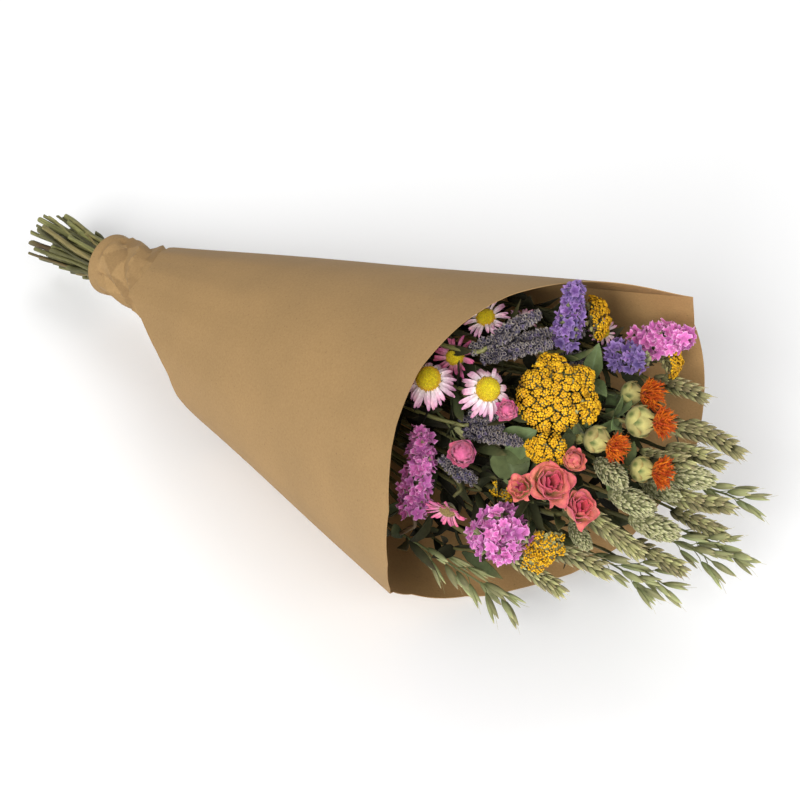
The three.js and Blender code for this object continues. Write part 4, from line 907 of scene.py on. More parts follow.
def crumple(distance, degrees, seed):
    """Facets of crushed paper: a height for each point, creased along straight lines, and a facet's draw,
    which the finish turns into painted light and shade on each facet.
    """
    rng = dice(seed)
    columns, rows = FACET_COLUMNS, FACET_ROWS
    odd = np.add.outer(np.arange(rows + 1), np.arange(columns)) % 2
    heights = (2 * odd - 1) * rng.uniform(0.35, 1, (rows + 1, columns))
    # a draw for each facet: the finish makes each facet lighter or darker by it, as painted light and shade
    draws = rng.uniform(0, 1, (2, rows, columns))
    around_by = (degrees + 180) / 360 * columns
    u = around_by + 0.35 * np.sin(distance / 9.0)
    v = (distance - NECK_START - 2) / FACET_LENGTH + 0.3 * np.sin(around_by * TURN / columns * 3 + 1)
    v = np.clip(v, 0, rows - 0.001)
    i = np.floor(u).astype(int) % columns
    k = np.floor(v).astype(int)
    fu, fv = u - np.floor(u), v - k
    a, b = heights[k, i], heights[k, (i + 1) % columns]
    c, d = heights[k + 1, i], heights[k + 1, (i + 1) % columns]
    lower = a + (b - a) * fu + (c - a) * fv
    upper = d + (c - d) * (1 - fu) + (b - d) * (1 - fv)
    first = fu + fv < 1
    return np.where(first, lower, upper), draws[np.where(first, 0, 1), k, i]


def neck_form():
    """The gathered neck: crumpled facets, drawn in where the raffia ties it, and a turned-in hem."""
    columns = 132
    stations = np.concatenate([span(NECK_START, NECK_END, 34), span(NECK_END, FUNNEL_END - 8, 33)[1:]])
    degrees = -180 + 360 * np.arange(columns) / columns
    distance, angle = np.meshgrid(stations, degrees, indexing="ij")
    crushed = smooth(distance, NECK_START + HEM * 0.8, NECK_START + HEM * 1.2)
    heights, draws = crumple(distance, angle, 19)
    facets = heights * FACET_HEIGHT * crushed * (1 - 0.75 * smooth(distance, NECK_END + 4, NECK_END + 30))
    raffia = WAIST_RADIUS + 0.2 + 3.6 * np.exp(-((distance - WAIST) / 4.5) ** 2)
    base = np.interp(distance, *NECK_STATIONS) - 0.5
    radius = np.maximum(base + facets - 1.2 * smooth(distance, NECK_END, NECK_END + 30), raffia)
    # the free end is turned in on itself, as a round hem
    roll = np.clip((NECK_START + HEM_ROLL - distance) / HEM_ROLL, 0, 1)
    radius = radius - 1.6 * (1 - np.sqrt(np.maximum(1 - roll ** 2, 0)))
    centres = np.array([bunch_centre(s) for s in stations])[:, None, :]
    outer, inner = (round_axis(centres, np.radians(angle), radius - inset) for inset in (0, sizes().paper))
    # the crushed part carries the facet draws, painted light and shade in the finish; the hem stays even
    form = paper_form(outer, inner, 0.5 + (draws - 0.5) * crushed)
    form.points[0][:, 2] = np.maximum(form.points[0][:, 2], FLOOR_GAP)
    return form


# Stems.
def upper_stem(head, start):
    """The upper part of a stem's route: up inside the cone, round a knee and into its head."""
    foot, facing = foot_of(head), facing_of(head)
    knee = foot - facing * KNEE_OUT - AXIS * KNEE_BACK
    return [start + (knee - start) * 0.55, knee, foot - facing * 6, foot + facing * 2.5]


def waist_places(heads):
    """Evenly spread places in the tied waist, each for the nearest head, outer heads first."""
    free = []
    for i in range(len(heads)):
        share, turn = math.sqrt((i + 0.5) / len(heads)), i * GOLDEN
        free.append((share, turn, math.cos(turn) * share, math.sin(turn) * share))
    wishes = [(foot_of(h) @ LIFT / HEADS_SPREAD, foot_of(h) @ SIDE / HEADS_SPREAD, h["name"]) for h in heads]
    wishes.sort(key=lambda w: -math.hypot(w[0], w[1]))
    places = {}
    for up, side, name in wishes:
        best = min(free, key=lambda f: math.hypot(f[2] - up, f[3] - side))
        free.remove(best)
        places[name] = best[:2]
    return places


def around(distance, radius, angle):
    """A place round the bunch, at a distance along the cone."""
    return bunch_centre(distance) + LIFT * math.cos(angle) * radius + SIDE * math.sin(angle) * radius


def add_stem(form, route, radius, draw, rng, sides=8):
    """A stem along a route, a little uneven, its cut end sliced at a slant."""
    line = bezier(route, 9)
    lengths = span(0, 1, len(line))
    wobble = 1 + 0.06 * np.sin(lengths * 37 + draw * 30) + 0.04 * rng.standard_normal(len(line))
    points, faces, shares = tube(line, radius * (1 - 0.4 * lengths) * wobble, sides)
    slant = rng.uniform(-0.8, 0.8) * radius
    ring = points[:sides]
    forward = unit(line[1] - line[0])
    across = unit(ring[0] - line[0])
    points[:sides] += forward * ((ring - line[0]) @ across)[:, None] / radius * slant
    cut = np.zeros(len(points))
    cut[:sides] = 0.35
    cut[-2] = 1
    form.add(points, faces, tones(shares, draw, cut))


def stems_form():
    """A stem and two thinner twins for each head, through the waist, and the side stems that fork off."""
    form = Form()
    rng = dice(211)
    whole = [head for head in HEADS if "branch" not in head]
    places = waist_places(whole)
    forks = {}
    for index, head in enumerate(whole):
        share, turn = places[head["name"]]
        for twin, (width, turned_by) in enumerate(TWINS):
            cut = CUT_NEAREST + (CUT_FURTHEST - CUT_NEAREST) * ((index * 0.618 + twin * 0.37) % 1)
            reach = (WAIST - cut) / (WAIST - CUT_NEAREST)
            swing = turn + turned_by
            out = math.sqrt(rng.uniform(0.02, 0.98)) if twin else share
            spread = 1 + (SPLAY - 1) * reach * rng.uniform(0.7, 1.05)
            end = around(cut, WAIST_RADIUS * out * spread, swing + rng.uniform(0.1, 0.7) * reach)
            waist = around(WAIST, WAIST_RADIUS * out * 0.92, swing)
            route = [end, waist, *upper_stem(head, waist)]
            if twin:
                route = route[:4]
                route[2] = route[2] + rng.uniform(-5, 5, 3)
                route[3] = route[3] + rng.uniform(-4, 4, 3) - AXIS * TWIN_LAG
            else:
                forks[head["name"]] = route[2]
            radius = STEM_RADIUS * (0.86 + 0.28 * ((index * 0.37) % 1)) * width
            add_stem(form, route, radius, rng.uniform(0, 1), rng)
    for head in HEADS + FILLING:
        if "branch" in head:
            fork = forks[head["branch"]]
            add_stem(form, [fork, *upper_stem(head, fork)], STEM_RADIUS * 0.72, rng.uniform(0, 0.7), rng, 6)
    return form


def tie_form():
    """Raffia: three strands wound side by side round the stems, each a little twisted."""
    form = Form()
    rng = dice(5)
    radius = WAIST_RADIUS + STEM_RADIUS + TIE_RADIUS * 0.7
    angle = span(0, TURN, 97)
    for strand in (-1, 0, 1):
        ripple = 0.16 * np.sin(angle * 7 + strand) + 0.08 * rng.standard_normal(len(angle))
        ripple[-1] = ripple[0]
        line = [
            bunch_centre(WAIST) + AXIS * (strand * 1.5 + 0.25 * math.sin(2 * a + strand))
            + (LIFT * math.cos(a) + SIDE * math.sin(a)) * (radius + r)
            for a, r in zip(angle, ripple)
        ]
        form.strand(line, 0.62, 8, rng.random())
    return form


# Yarrow.
def yarrow_floret():
    """One floret: a blunt knob of three lobes on a narrow foot."""
    profile = ((0.45, -0.9, 0, 0), (1.0, 0.05, 0.10, 0.04), (0.84, 0.46, 0.15, 0.06), (0.38, 0.62, 0.05, 0))
    return lobed(profile, 6, 3)


def yarrow_dome(radius, seed, spacing):
    """A low dome of florets that crowd together in small groups, and the forked stalks under it."""
    florets, stalks = Form(), Form()
    rng = dice(seed)
    under, height = radius * 0.5, radius * 0.42
    count = int(math.pi * radius ** 2 / spacing ** 2 * 1.12)
    flat, share = sunflower(radius * 1.02, count)
    groups, group_share = sunflower(radius * 0.93, max(5, count // 15))
    space = radius * 0.93 / math.sqrt(len(groups))
    groups = groups + rng.uniform(-0.62, 0.62, groups.shape) * space
    reach = np.linalg.norm(flat[:, None] - groups[None], axis=-1)
    nearest = reach.argmin(1)
    gap = reach.min(1) / space
    lean = flat - groups[nearest]
    flat = flat - lean * 0.16 + rng.uniform(-0.2, 0.2, flat.shape) * spacing
    lift = rng.uniform(-0.9, 1.0, len(groups))
    z = under + height * np.cos(share * math.pi / 2) + lift[nearest] + 0.5 - 1.1 * gap ** 2
    z = z + rng.uniform(-0.3, 0.3, count)
    normal = np.stack([flat[:, 0] * 0.6, flat[:, 1] * 0.6, np.full(count, radius)], -1) / radius
    normal[:, :2] += lean * 0.2 + rng.uniform(-0.25, 0.25, lean.shape)
    scale = spacing * 0.57 * rng.uniform(0.72, 1.18, count)
    turns = turns_to(normal, rng.uniform(0, TURN, count)) * scale[:, None, None]
    draws = np.clip(0.5 + 0.22 * rng.standard_normal(count) + 0.1 * lift[nearest], 0, 1)
    # florets far from their group's middle sit sunk in the gaps; their mark darkens them in the finish as
    # painted shade
    florets.copies(yarrow_floret(), turns, np.column_stack([flat, z]), draws, np.clip(gap * 0.5, 0, 1))
    cup = lobed(((0.3, -1.6, 0, 0), (1.0, -0.6, 0, 0), (1.5, 0.3, 0.1, 0), (0.9, 0.5, 0, 0)), 6, 3)
    for centre, part in zip(groups, group_share):
        top = np.array([*centre, under + height * math.cos(part * math.pi / 2) - 4.2])
        middle = top * (0.45, 0.45, 0.55)
        stalks.strand(bezier([(0, 0, 0), middle, top], 2), span(0.75, 0.5, 5), 5, rng.random())
        stalks.once(cup, rng.random(), turn=turn_to((*centre * 0.5, radius)), place=top)
    return florets, stalks


def yarrow_knobs(head):
    """A loose chain of small knobs of florets, over the same domes as a whole head."""
    florets, stalks = Form(), Form()
    rng = dice(head["seed"])
    spacing = sizes().floret_spacing * 0.8
    domes = [(0, 0, head["radius"])] + [(across * 0.8, up * 0.8, size) for across, up, size in head["lobes"]]
    for across, up, size in domes:
        for place, part in zip(*sunflower(size * 0.86, int(size * 1.25))):
            out = np.array([*(place * 0.75), size])
            rise = size * (0.42 + 0.34 * math.cos(part * 1.4)) + rng.uniform(-1.2, 1.2)
            seat = np.array([*(place + (across, up)), rise])
            knob, under = yarrow_dome(rng.uniform(2.1, 2.9), int(rng.integers(1000)), spacing)
            turn = turn_to(out + rng.uniform(-0.2, 0.2, 3) * size)
            florets.join(knob.moved(turn, seat))
            stalks.join(under.moved(turn, seat))
            stalks.strand(bezier([(0, 0, 0), seat * (0.6, 0.6, 0.5), seat], 4), 0.5, 5, rng.random())
    return florets, stalks


def yarrow_forms(head):
    """A whole head of yarrow: its main dome and the lobes that lean out from under it."""
    if head["name"] in KNOBBED:
        return yarrow_knobs(head)
    spacing = sizes().floret_spacing
    florets, stalks = yarrow_dome(head["radius"], head["seed"], spacing)
    for index, (across, up, size) in enumerate(head["lobes"]):
        lobe, under = yarrow_dome(size, head["seed"] + 30 + index, spacing)
        turn = turn_to((across, up, head["radius"] * 0.9))
        place = np.array([across * 0.62, up * 0.62, head["radius"] * 0.28])
        florets.join(lobe.moved(turn, place))
        stalks.join(under.moved(turn, place))
        stalks.strand([(0, 0, 1), place * 0.5, place], 0.8, 5, 0.5)
    return florets, stalks


# Daisies.
def strap_petal(length, width, cup, droop, side_bend, rng):
    """A narrow petal along +Y: waisted at the foot, broad past the middle, drooping, with a worn tip."""
    rows = []
    shares = span(0, 1, 10)
    profile = np.interp(shares, (0, 0.2, 0.6, 0.85, 0.96, 1), (0.5, 0.76, 1.0, 0.86, 0.58, 0.3))
    twist, nick, wave = rng.uniform(-0.5, 0.5), rng.uniform(-0.2, 0.9), rng.uniform(0, TURN)
    for t, wide in zip(shares, profile):
        row = []
        for u in (-1, -0.5, 0, 0.5, 1):
            x = u * wide * width / 2 + side_bend * t * t
            y = t * length - nick * (1 - abs(u)) * (t > 0.9)
            z = cup * u * u * wide - droop * t ** 1.7 + twist * u * t * width * 0.5
            z += 0.25 * math.sin(5 * t + wave)
            row.append((x, y, z))
        rows.append(row)
    return np.array(rows)


def daisy_form(head):
    """Three layers of petals round the hub. Where a head hangs, its upper petals are short and fall away."""
    form = Form()
    rng = dice(head["seed"])
    radius, hang = head["radius"], head.get("hang", 0.0)
    hub, height = radius * DISC_SHARE, radius * CUP_SHARE
    count = head["petals"] // 2
    for layer in range(3):
        for i in range(count):
            turn = TURN * (i + 0.33 * layer + rng.uniform(-0.3, 0.3)) / count
            upper = hang * (0.5 - 0.5 * math.cos(turn - DOWNWARD))
            reach = (radius * rng.uniform(0.78, 1.04) - hub * 0.75) * (1 - 0.06 * layer) * (1 - 0.35 * upper)
            rise = head["cup"] + rng.uniform(-0.12, 0.12) + 0.13 * layer - 0.5 * upper
            wide = radius * rng.uniform(0.12, 0.165)
            droop = reach * (head.get("droop", 0.2) + rng.uniform(-0.12, 0.25) + 0.5 * upper)
            rows = strap_petal(reach, wide, rng.uniform(0.2, 0.6), droop, rng.uniform(-1.2, 1.2), rng)
            rows = rows @ turn_x(math.atan(rise)).T + (0, hub * 0.75, height + 0.35 * layer - 0.35)
            edge = np.tile([1, 0.5, 0, 0.5, 1], 2 * len(rows))
            form.sheet(rows @ turn_z(turn - math.pi / 2).T, sizes().petal, rng.random(), edge)
    return form


def daisy_cup_form(head):
    """The green cup under a daisy: three rows of pointed bracts from the stem to the petals."""
    form = Form()
    rng = dice(head["seed"] + 50)
    hub, height = head["radius"] * 0.32, head["radius"] * CUP_SHARE
    form.once(turned(((0.9, 0), (hub * 0.6, height * 0.45), (hub, height * 0.95)), 16), 0.4)
    bract = turned(((0.05, 0), (0.5, 0.3), (0.42, 0.7), (0.04, 1.0)), 6)
    bract = stretched(bract, 2.4, 0.7, height * 0.75)
    number = 12
    for row in range(3):
        for i in range(number):
            turn = TURN * (i + 0.5 * row) / number
            seat = polar(turn, hub * (0.35 + 0.27 * row), height * (0.1 + 0.22 * row))
            form.once(bract, rng.random(), turn=turn_z(turn + math.pi / 2) @ turn_x(0.75), place=seat)
    return form


def disc_form(head):
    """The middle of a daisy: tight spirals of tiny florets on a dome."""
    form = Form()
    rng = dice(head["seed"] + 9)
    hub = head["radius"] * (DISC_SHARE + 0.01)
    dome = hub * head.get("dome", 0.5)
    raised = head["radius"] * CUP_SHARE + 0.6
    count = 300 if head["radius"] > 12 else 160
    flat, share = sunflower(hub, count)
    z = dome * (1 - share ** 2.3) + raised
    steep = dome / hub * 2.3 * share ** 1.3
    away = flat / np.maximum(np.linalg.norm(flat, axis=1, keepdims=True), 1e-6)
    normal = np.column_stack([away * steep[:, None], np.ones(count)])
    bead = lobed(((0.45, -0.6, 0, 0), (0.6, 0.2, 0.1, 0), (0.24, 0.5, 0, 0)), 6, 3)
    turns = turns_to(normal, rng.uniform(0, TURN, count)) * (hub * 1.82 / math.sqrt(count))
    form.copies(bead, turns, np.column_stack([flat, z]), rng.random(count), share)
    rings = [(hub * (0.985 * r + 0.005), dome * (1 - r ** 2.3) - 0.15) for r in (1, 0.9, 0.7, 0.5, 0.3, 0.1)]
    core = turned([(hub * 0.5, -1.6), (hub * 0.95, -0.9), *rings], 24)
    form.once(core, 0.5, 0.6, place=(0, 0, raised))
    return form


def bud_form(head, petals=8):
    """A closed bud: four rows of pointed bracts that hug an egg, their tips a little apart."""
    form = Form()
    rng = dice(head["seed"])
    radius, length = head["radius"], head["length"]
    rows = 4
    for row in range(rows):
        for i in range(petals):
            turn = TURN * (i + 0.5 * row) / petals + rng.uniform(-0.1, 0.1)
            top = 0.56 + 0.44 * (row + 1) / rows
            base = 0.02 + 0.12 * row
            spread = (1.15 - 0.1 * row) * math.pi / petals * 1.2
            open_by = rng.uniform(0.4, 2.2) * (1.2 - 0.2 * row)
            bract = []
            for t in span(0, 1, 9):
                z = (base + (top - base) * t) * length
                swell = radius * max(0.12, math.sin(math.pi * min(1, 0.08 + 0.82 * z / length)) ** 0.62)
                wide = spread * np.interp(t, (0, 0.35, 0.6, 0.85, 1), (0.6, 1, 0.8, 0.36, 0.04))
                out = swell - 0.3 * row + open_by * t ** 4
                bract.append([
                    polar(turn + u * wide, out + 0.25 * u * u, z + 0.15 * math.sin(3 * u + turn))
                    for u in (-1, -0.5, 0, 0.5, 1)
                ])
            form.sheet(bract, sizes().petal, rng.random(), row / rows)
    core = ((0.8, 0), (radius * 0.72, length * 0.22), (radius * 0.86, length * 0.5),
            (radius * 0.5, length * 0.82), (0.3, length * 0.95))
    form.once(turned(core, 14), 0.5)
    return form


# Statice.
def ruffle(seed):
    """A papery floret: a short funnel whose rim is crumpled into five folded lobes."""
    rng = dice(seed)
    sides = 15
    angle = np.arange(sides) * TURN / sides
    folds = np.where(np.arange(sides) % 3 == 0, -1.0, 0.5) + 0.35 * rng.uniform(-1, 1, sides)
    crumpled = rng.uniform(-1, 1, sides)
    profile = ((0.12, 0.0, 0, 0), (0.36, 0.50, 0.05, 0.02), (0.72, 0.90, 0.2, 0.16), (1.0, 1.04, 0.34, 0.42),
               (0.74, 1.0, 0.22, 0.22), (0.30, 0.76, 0.06, 0.06))
    rings = []
    for radius, height, wave, lift in profile:
        r = radius * (1 + wave * folds + 0.6 * wave * crumpled)
        z = height + lift * (0.9 * np.roll(crumpled, 3) + 0.35 * folds)
        rings.append(np.stack([np.cos(angle) * r, np.sin(angle) * r, z], -1))
    points, faces = ringed(rings, (0, 0, 0), (0, 0, 0.62))
    return points, faces, np.concatenate([np.repeat((0.0, 0.25, 0.6, 1.0, 0.75, 0.3), sides), [0, 0.1]])


def statice_forms(head):
    """A spray of statice: ruffled florets all round a stalk, each in a green cup on its own short stem."""
    florets, greens = Form(), Form()
    rng = dice(head["seed"])
    radius, count = head["radius"], int(head["florets"] * 1.3)
    line = bezier(head["path"], 8)
    steps = len(line) - 1
    patterns = [ruffle(head["seed"] + k) for k in range(4)]
    cup = lobed(((0.2, -0.5, 0, 0), (0.44, 0.66, 0.2, 0.06), (0.2, 0.5, 0, 0)), 6, 3)
    seated = [[] for _ in patterns]
    gap = head.get("gap", (0, 0, 0))
    for i in range(count):
        t = (i + 0.6) / count
        low = min(int(t * steps), steps - 1)
        centre = line[low] + (line[low + 1] - line[low]) * (t * steps - low)
        forward = unit(line[low + 1] - line[low])
        wide = unit(np.array([1.0, 0, 0]) - forward * forward[0])
        turn = i * GOLDEN + rng.uniform(-0.3, 0.3)
        out = wide * math.cos(turn) + np.cross(forward, wide) * math.sin(turn)
        swell = radius * (0.42 + 0.5 * math.sin(math.pi * (0.12 + 0.8 * t)))
        out = unit(out + forward * (0.25 + 1.5 * t * t))
        seat = centre + out * swell * rng.uniform(0.35, 0.98) * 0.84
        size = head["size"] * rng.uniform(0.72, 1.12)
        direction = unit(out + rng.uniform(-0.5, 0.5, 3))
        # a gap in the spray shows its green cups, with no florets in them
        if math.hypot(seat[0] - gap[0], seat[1] - gap[1]) >= gap[2]:
            aim = turn_to(direction) @ turn_z(rng.uniform(0, TURN)) * size
            seated[i % len(patterns)].append((aim, seat, rng.random()))
        greens.strand([centre, centre + (seat - centre) * 0.6 + forward * 0.4, seat], 0.45, 4, rng.random())
        greens.once(cup, rng.random(), turn=turn_to(direction) * size, place=seat)
    for pattern, group in zip(patterns, seated):
        florets.copies(pattern, *zip(*group))
    greens.strand(line, 0.9, 6, 0.5)
    return florets, greens


# Lavender.
def calyx():
    """One ribbed calyx: a small tube with a toothed pale rim and a dark mouth."""
    sides = 6
    profile = ((0.12, 0.0, 0, 0), (0.29, 0.5, 0.08, 0), (0.36, 1.0, 0.1, 0.07), (0.25, 0.96, 0.05, 0.05),
               (0.17, 0.7, 0, 0))
    points, faces, _ = lobed(profile, sides, 3)
    points[-2:] = (0, 0, 0), (0, 0, 0.62)
    return points, faces, np.concatenate([np.repeat((0.15, 0.5, 1.0, 0.45, 0.0), sides), [0, 0]])


def lavender_form(head):
    """Spikes of lavender: whorls of calyces round each, which lean up towards its tip."""
    form = Form()
    rng = dice(head["seed"])
    pattern = calyx()
    number = 8
    for foot, tip, radius in head["spikes"]:
        foot, tip = np.array(foot, float), np.array(tip, float)
        length = np.linalg.norm(tip - foot)
        base = turn_to(tip - foot)
        calyces = []
        whorls = int(length / 2.1)
        for w in range(whorls):
            t = w / whorls
            swell = math.sin(math.pi * (0.2 + 0.7 * t)) ** 0.6
            for k in range(number):
                turn = TURN * (k + 0.5 * (w % 2)) / number + rng.uniform(-0.35, 0.35)
                tilt = rng.uniform(0.6, 1.25) * (1 - 0.5 * t)
                direction = base @ polar(turn, math.sin(tilt), math.cos(tilt))
                up = t * length * 0.93 + rng.uniform(-0.7, 0.7)
                seat = foot + base @ polar(turn, radius * 0.34 * swell, up)
                size = sizes().calyx * rng.uniform(0.8, 1.12) * (0.75 + 0.3 * swell) * radius / 4.2
                aim = turn_to(direction) @ turn_z(rng.uniform(0, TURN)) * size
                calyces.append((aim, seat, rng.random(), rng.random()))
        form.copies(pattern, *zip(*calyces))
        form.strand(bezier([(0, 0, 0), foot * 0.6, foot, tip], 4), 0.6, 5, 0.5, high=0.2)
    return form


# Roses.
def rose_petal(inner, outer, length, base, spread, turn, curl, rng):
    """A broad petal wrapped round the heart: from its foot out to a torn rim that rolls back and waves."""
    rows = []
    wave = rng.uniform(0, TURN, 3)
    for t in span(0, 1, 12):
        row = []
        for u in span(-1, 1, 13):
            wide = spread * np.interp(t, (0, 0.3, 0.75, 1), (0.4, 0.95, 1.0, 0.92 - 0.25 * u * u))
            body = inner + (outer - inner) * math.sin(min(t, 0.85) / 0.85 * math.pi / 2) ** 0.7
            roll = curl * smooth(t, 0.65, 1.0) * (0.7 + 0.5 * u * u + 0.5 * math.sin(4 * u + wave[0]))
            crimp = smooth(t, 0.4, 1.0)
            r = body + roll + 0.6 * crimp * math.sin(5.5 * u + wave[1])
            z = base + (length - base) * t - 0.5 * roll * t - 1.0 * u * u * t
            z += crimp * (0.7 * math.sin(3.3 * u + wave[2]) + 0.3 * math.sin(9 * u + wave[0]))
            row.append(polar(turn + u * wide, r, z))
        rows.append(row)
    return rows


def rose_forms(head):
    """A spray rose: whorls of petals, tight at the heart, and five sepals on a small hip."""
    petals, greens = Form(), Form()
    rng = dice(head["seed"])
    radius, whorls = head["radius"], head["whorls"]
    length = radius * 1.5
    for layer in range(whorls):
        share = layer / (whorls - 1)
        count = 3 if layer == 0 else 4
        outer = radius * (0.28 + 0.62 * share)
        inner = radius * (0.12 + 0.12 * share)
        top = length * (1.0 - 0.14 * share ** 2)
        for i in range(count):
            turn = TURN * (i + rng.uniform(-0.2, 0.2)) / count + layer * 1.1
            spread = math.pi / count * rng.uniform(1.15, 1.6)
            curl = radius * (0.02 + 0.22 * share ** 1.5) * rng.uniform(0.1, 1.5)
            rows = rose_petal(inner, outer * rng.uniform(0.82, 1.06), top * rng.uniform(0.84, 1.02),
                              length * 0.12, spread, turn, curl, rng)
            petals.sheet(rows, 0.3, rng.random(), 1 - share)
    hip = ((0.9, 0), (radius * 0.2, length * 0.05), (radius * 0.3, length * 0.16),
           (radius * 0.2, length * 0.24))
    greens.once(turned(hip, 14), 0.4)
    for i in range(5):
        c, s = math.cos(TURN * i / 5 + 0.3), math.sin(TURN * i / 5 + 0.3)
        rows = []
        for t in span(0, 1, 7):
            half = radius * 0.14 * np.interp(t, (0, 0.3, 1), (0.7, 1, 0.06))
            r = radius * (0.24 + 0.62 * math.sin(t * math.pi / 2))
            z = length * (0.14 + 0.34 * t * t)
            rows.append([(c * r - s * u * half, s * r + c * u * half, z - 0.3 * abs(u)) for u in (-1, 0, 1)])
        greens.sheet(rows, sizes().petal, rng.random())
    return petals, greens


# Safflower.
def globe_form(head):
    """A globe of broad smooth bracts, each with one green eye, drawn together to a beak at the top."""
    form = Form()
    rng = dice(head["seed"])
    radius = head["radius"]
    length = radius * 2.05

    def swell(z):
        t = min(1.0, max(0.0, z / length))
        bulge = (0.3, 0.62, 0.93, 1.0, 0.82, 0.5, 0.26)
        return radius * np.interp(t, (0, 0.08, 0.25, 0.45, 0.65, 0.82, 1.0), bulge)

    steps, sides = span(0, 1, 12), span(-1, 1, 9)
    eye = np.clip(1.3 - 1.3 * np.hypot((steps[:, None] - 0.5) / 0.26, sides / 0.5), 0, 1)
    eye = np.tile(eye.ravel(), 2)
    # each row of bracts: how many, from where to where up the globe, half width and flare of the tips
    whorls = ((5, 0.0, 0.62, 0.68, 1.1), (5, 0.06, 0.96, 0.74, 0.6), (4, 0.3, 1.0, 0.8, 0.4))
    for row, (number, low, top, half, tips) in enumerate(whorls):
        for i in range(number):
            turn = TURN * (i + 0.5 * row) / number + rng.uniform(-0.12, 0.12)
            flare = tips * rng.uniform(0.3, 1.1)
            bract = []
            for t in steps:
                z = (low + (top - low) * t) * length
                wide = half * np.interp(t, (0, 0.3, 0.62, 0.85, 1), (0.8, 1.06, 0.96, 0.6, 0.12))
                out = swell(z) - 0.4 * row + 0.3 + flare * smooth(t, 0.75, 1.0)
                bract.append([polar(turn + u * wide, out - 0.3 * u * u, z - 0.2 * abs(u)) for u in sides])
            form.sheet(bract, 0.3, rng.random(), eye)
    core = [(swell(z * length) - 1.5, z * length) for z in (0.03, 0.2, 0.4, 0.6, 0.75)]
    form.once(turned(core, 16), 0.3)
    return form


def tuft_form(radius, length, foot, seed):
    """A brush of florets from one point, each forked in three at its tip."""
    form = Form()
    rng = dice(seed)
    for place, share in zip(*sunflower(1.0, 120)):
        spread = share * 0.95
        direction = unit((*(place / max(share, 1e-3) * math.sin(spread)), math.cos(spread)))
        reach = min(radius / max(math.sin(spread), 0.35), length) * rng.uniform(0.5, 0.95)
        start = np.array([*(place * 1.8), foot])
        end = start + direction * reach
        middle = (start + end) / 2 + rng.uniform(-0.7, 0.7, 3)
        draw = rng.random()
        form.strand([start, middle, end], (0.3, 0.32, 0.4), 4, draw, high=0.7, mark=share)
        for _ in range(3):
            tip = end + unit(direction + rng.uniform(-0.85, 0.85, 3)) * rng.uniform(1.2, 2.4)
            form.strand([end - direction * 0.3, tip], (0.34, 0.08), 3, draw, low=0.7, mark=share)
    return form


# Grasses.
def husk_pattern(keel=0.25, rows=6, sides=6):
    """A pointed boat-shaped husk of unit length, width and depth, with a keel along its back."""
    profile = [
        (0.5 * math.sin(math.pi * t ** 0.8) ** 0.75 + 0.02, t, keel * 0.5, 0) for t in span(0.02, 0.985, rows)
    ]
    return lobed(profile, sides, 1)


def canary_form(head):
    """An egg-shaped head of canary grass: a spiral of flat husks that overlap like tiles."""
    form = Form()
    rng = dice(head["seed"])
    length, radius = head["deep"], head["radius"]
    flattened = 0.86
    count = 330
    husks = []
    for i in range(count):
        t = (i + 0.5) / count
        z = length * (0.02 + 0.84 * t) + rng.uniform(-0.8, 0.8)
        swell = radius * math.sin(math.pi * min(1, 0.1 + 0.86 * t)) ** 0.6
        turn = i * GOLDEN + rng.uniform(-0.4, 0.4)
        out = np.array([math.cos(turn), math.sin(turn) * flattened, 0])
        tilt = 0.72 - 0.6 * t + rng.uniform(-0.16, 0.2)
        direction = unit(out * math.sin(tilt) + (0, 0, math.cos(tilt)) + rng.uniform(-0.1, 0.1, 3))
        size = length * 0.145 * rng.uniform(0.8, 1.15)
        aim = turn_to(direction) @ turn_z(turn) @ np.diag([size * 0.2, size * 0.36, size])
        seat = out * max(swell - size * math.sin(tilt) * 0.85, 0.2) + (0, 0, z)
        husks.append((aim, seat, rng.random()))
    form.copies(husk_pattern(rows=4), *zip(*husks))
    core = turned([
        (radius * 0.72 * math.sin(math.pi * (0.1 + 0.84 * t)) ** 0.6, length * t * 0.9)
        for t in span(0.02, 0.98, 7)
    ], 12)
    points, faces, shares = stretched(core, 1, flattened, 1)
    form.once((points, faces, shares * 0 + 0.3), 0.1)
    return form


def wheat_form(head):
    """An ear: two ranks of plump spikelets in a zigzag, each of five keeled husks with short awns."""
    form = Form()
    rng = dice(head["seed"])
    length, radius = head["deep"], head["radius"] * 0.9
    husks = []
    spikelets = 13
    bow = rng.uniform(-2.2, 2.2)
    for i in range(spikelets):
        t = i / spikelets
        side = (i % 2) * math.pi + rng.uniform(-0.15, 0.15)
        out = np.array([math.cos(side), math.sin(side), 0])
        across = np.array([-out[1], out[0], 0])
        swell = radius * math.sin(math.pi * (0.26 + 0.6 * t)) ** 0.5
        size = length * 0.225 * rng.uniform(0.92, 1.08)
        seat = out * radius * 0.16 + (bow * math.sin(math.pi * t), 0, length * t * 0.84)
        for k, fan_out in enumerate((-0.66, -0.33, 0.0, 0.33, 0.66)):
            lean = 0.5 - 0.2 * abs(fan_out) + rng.uniform(-0.05, 0.05) - 0.16 * t
            direction = unit(out * math.sin(lean) * swell / radius + across * fan_out * 0.4 + (0, 0, 1.0))
            grow = size * (1.0 if k % 2 == 0 else 0.9)
            aim = turn_to(direction) @ turn_z(side) @ np.diag([grow * 0.3, grow * 0.25, grow])
            place = seat + across * fan_out * radius * 0.42 + out * (0.9 if k == 2 else 0.2)
            draw = rng.random()
            husks.append((aim, place, draw))
            if rng.random() < 0.7:
                tip = place + direction * grow
                awn = direction + rng.uniform(-0.16, 0.16, 3)
                path = [tip - direction, tip, tip + awn * rng.uniform(1.0, 3.0)]
                form.strand(path, (0.3, 0.2, 0.04), 3, draw, low=0.9)
    form.copies(husk_pattern(), *zip(*husks))
    stalk = [(0, 0, 0), (bow, 0, length * 0.45), (0, 0, length * 0.86)]
    form.strand(stalk, (1.0, 0.9, 0.5), 6, 0.4, high=0.1)
    return form


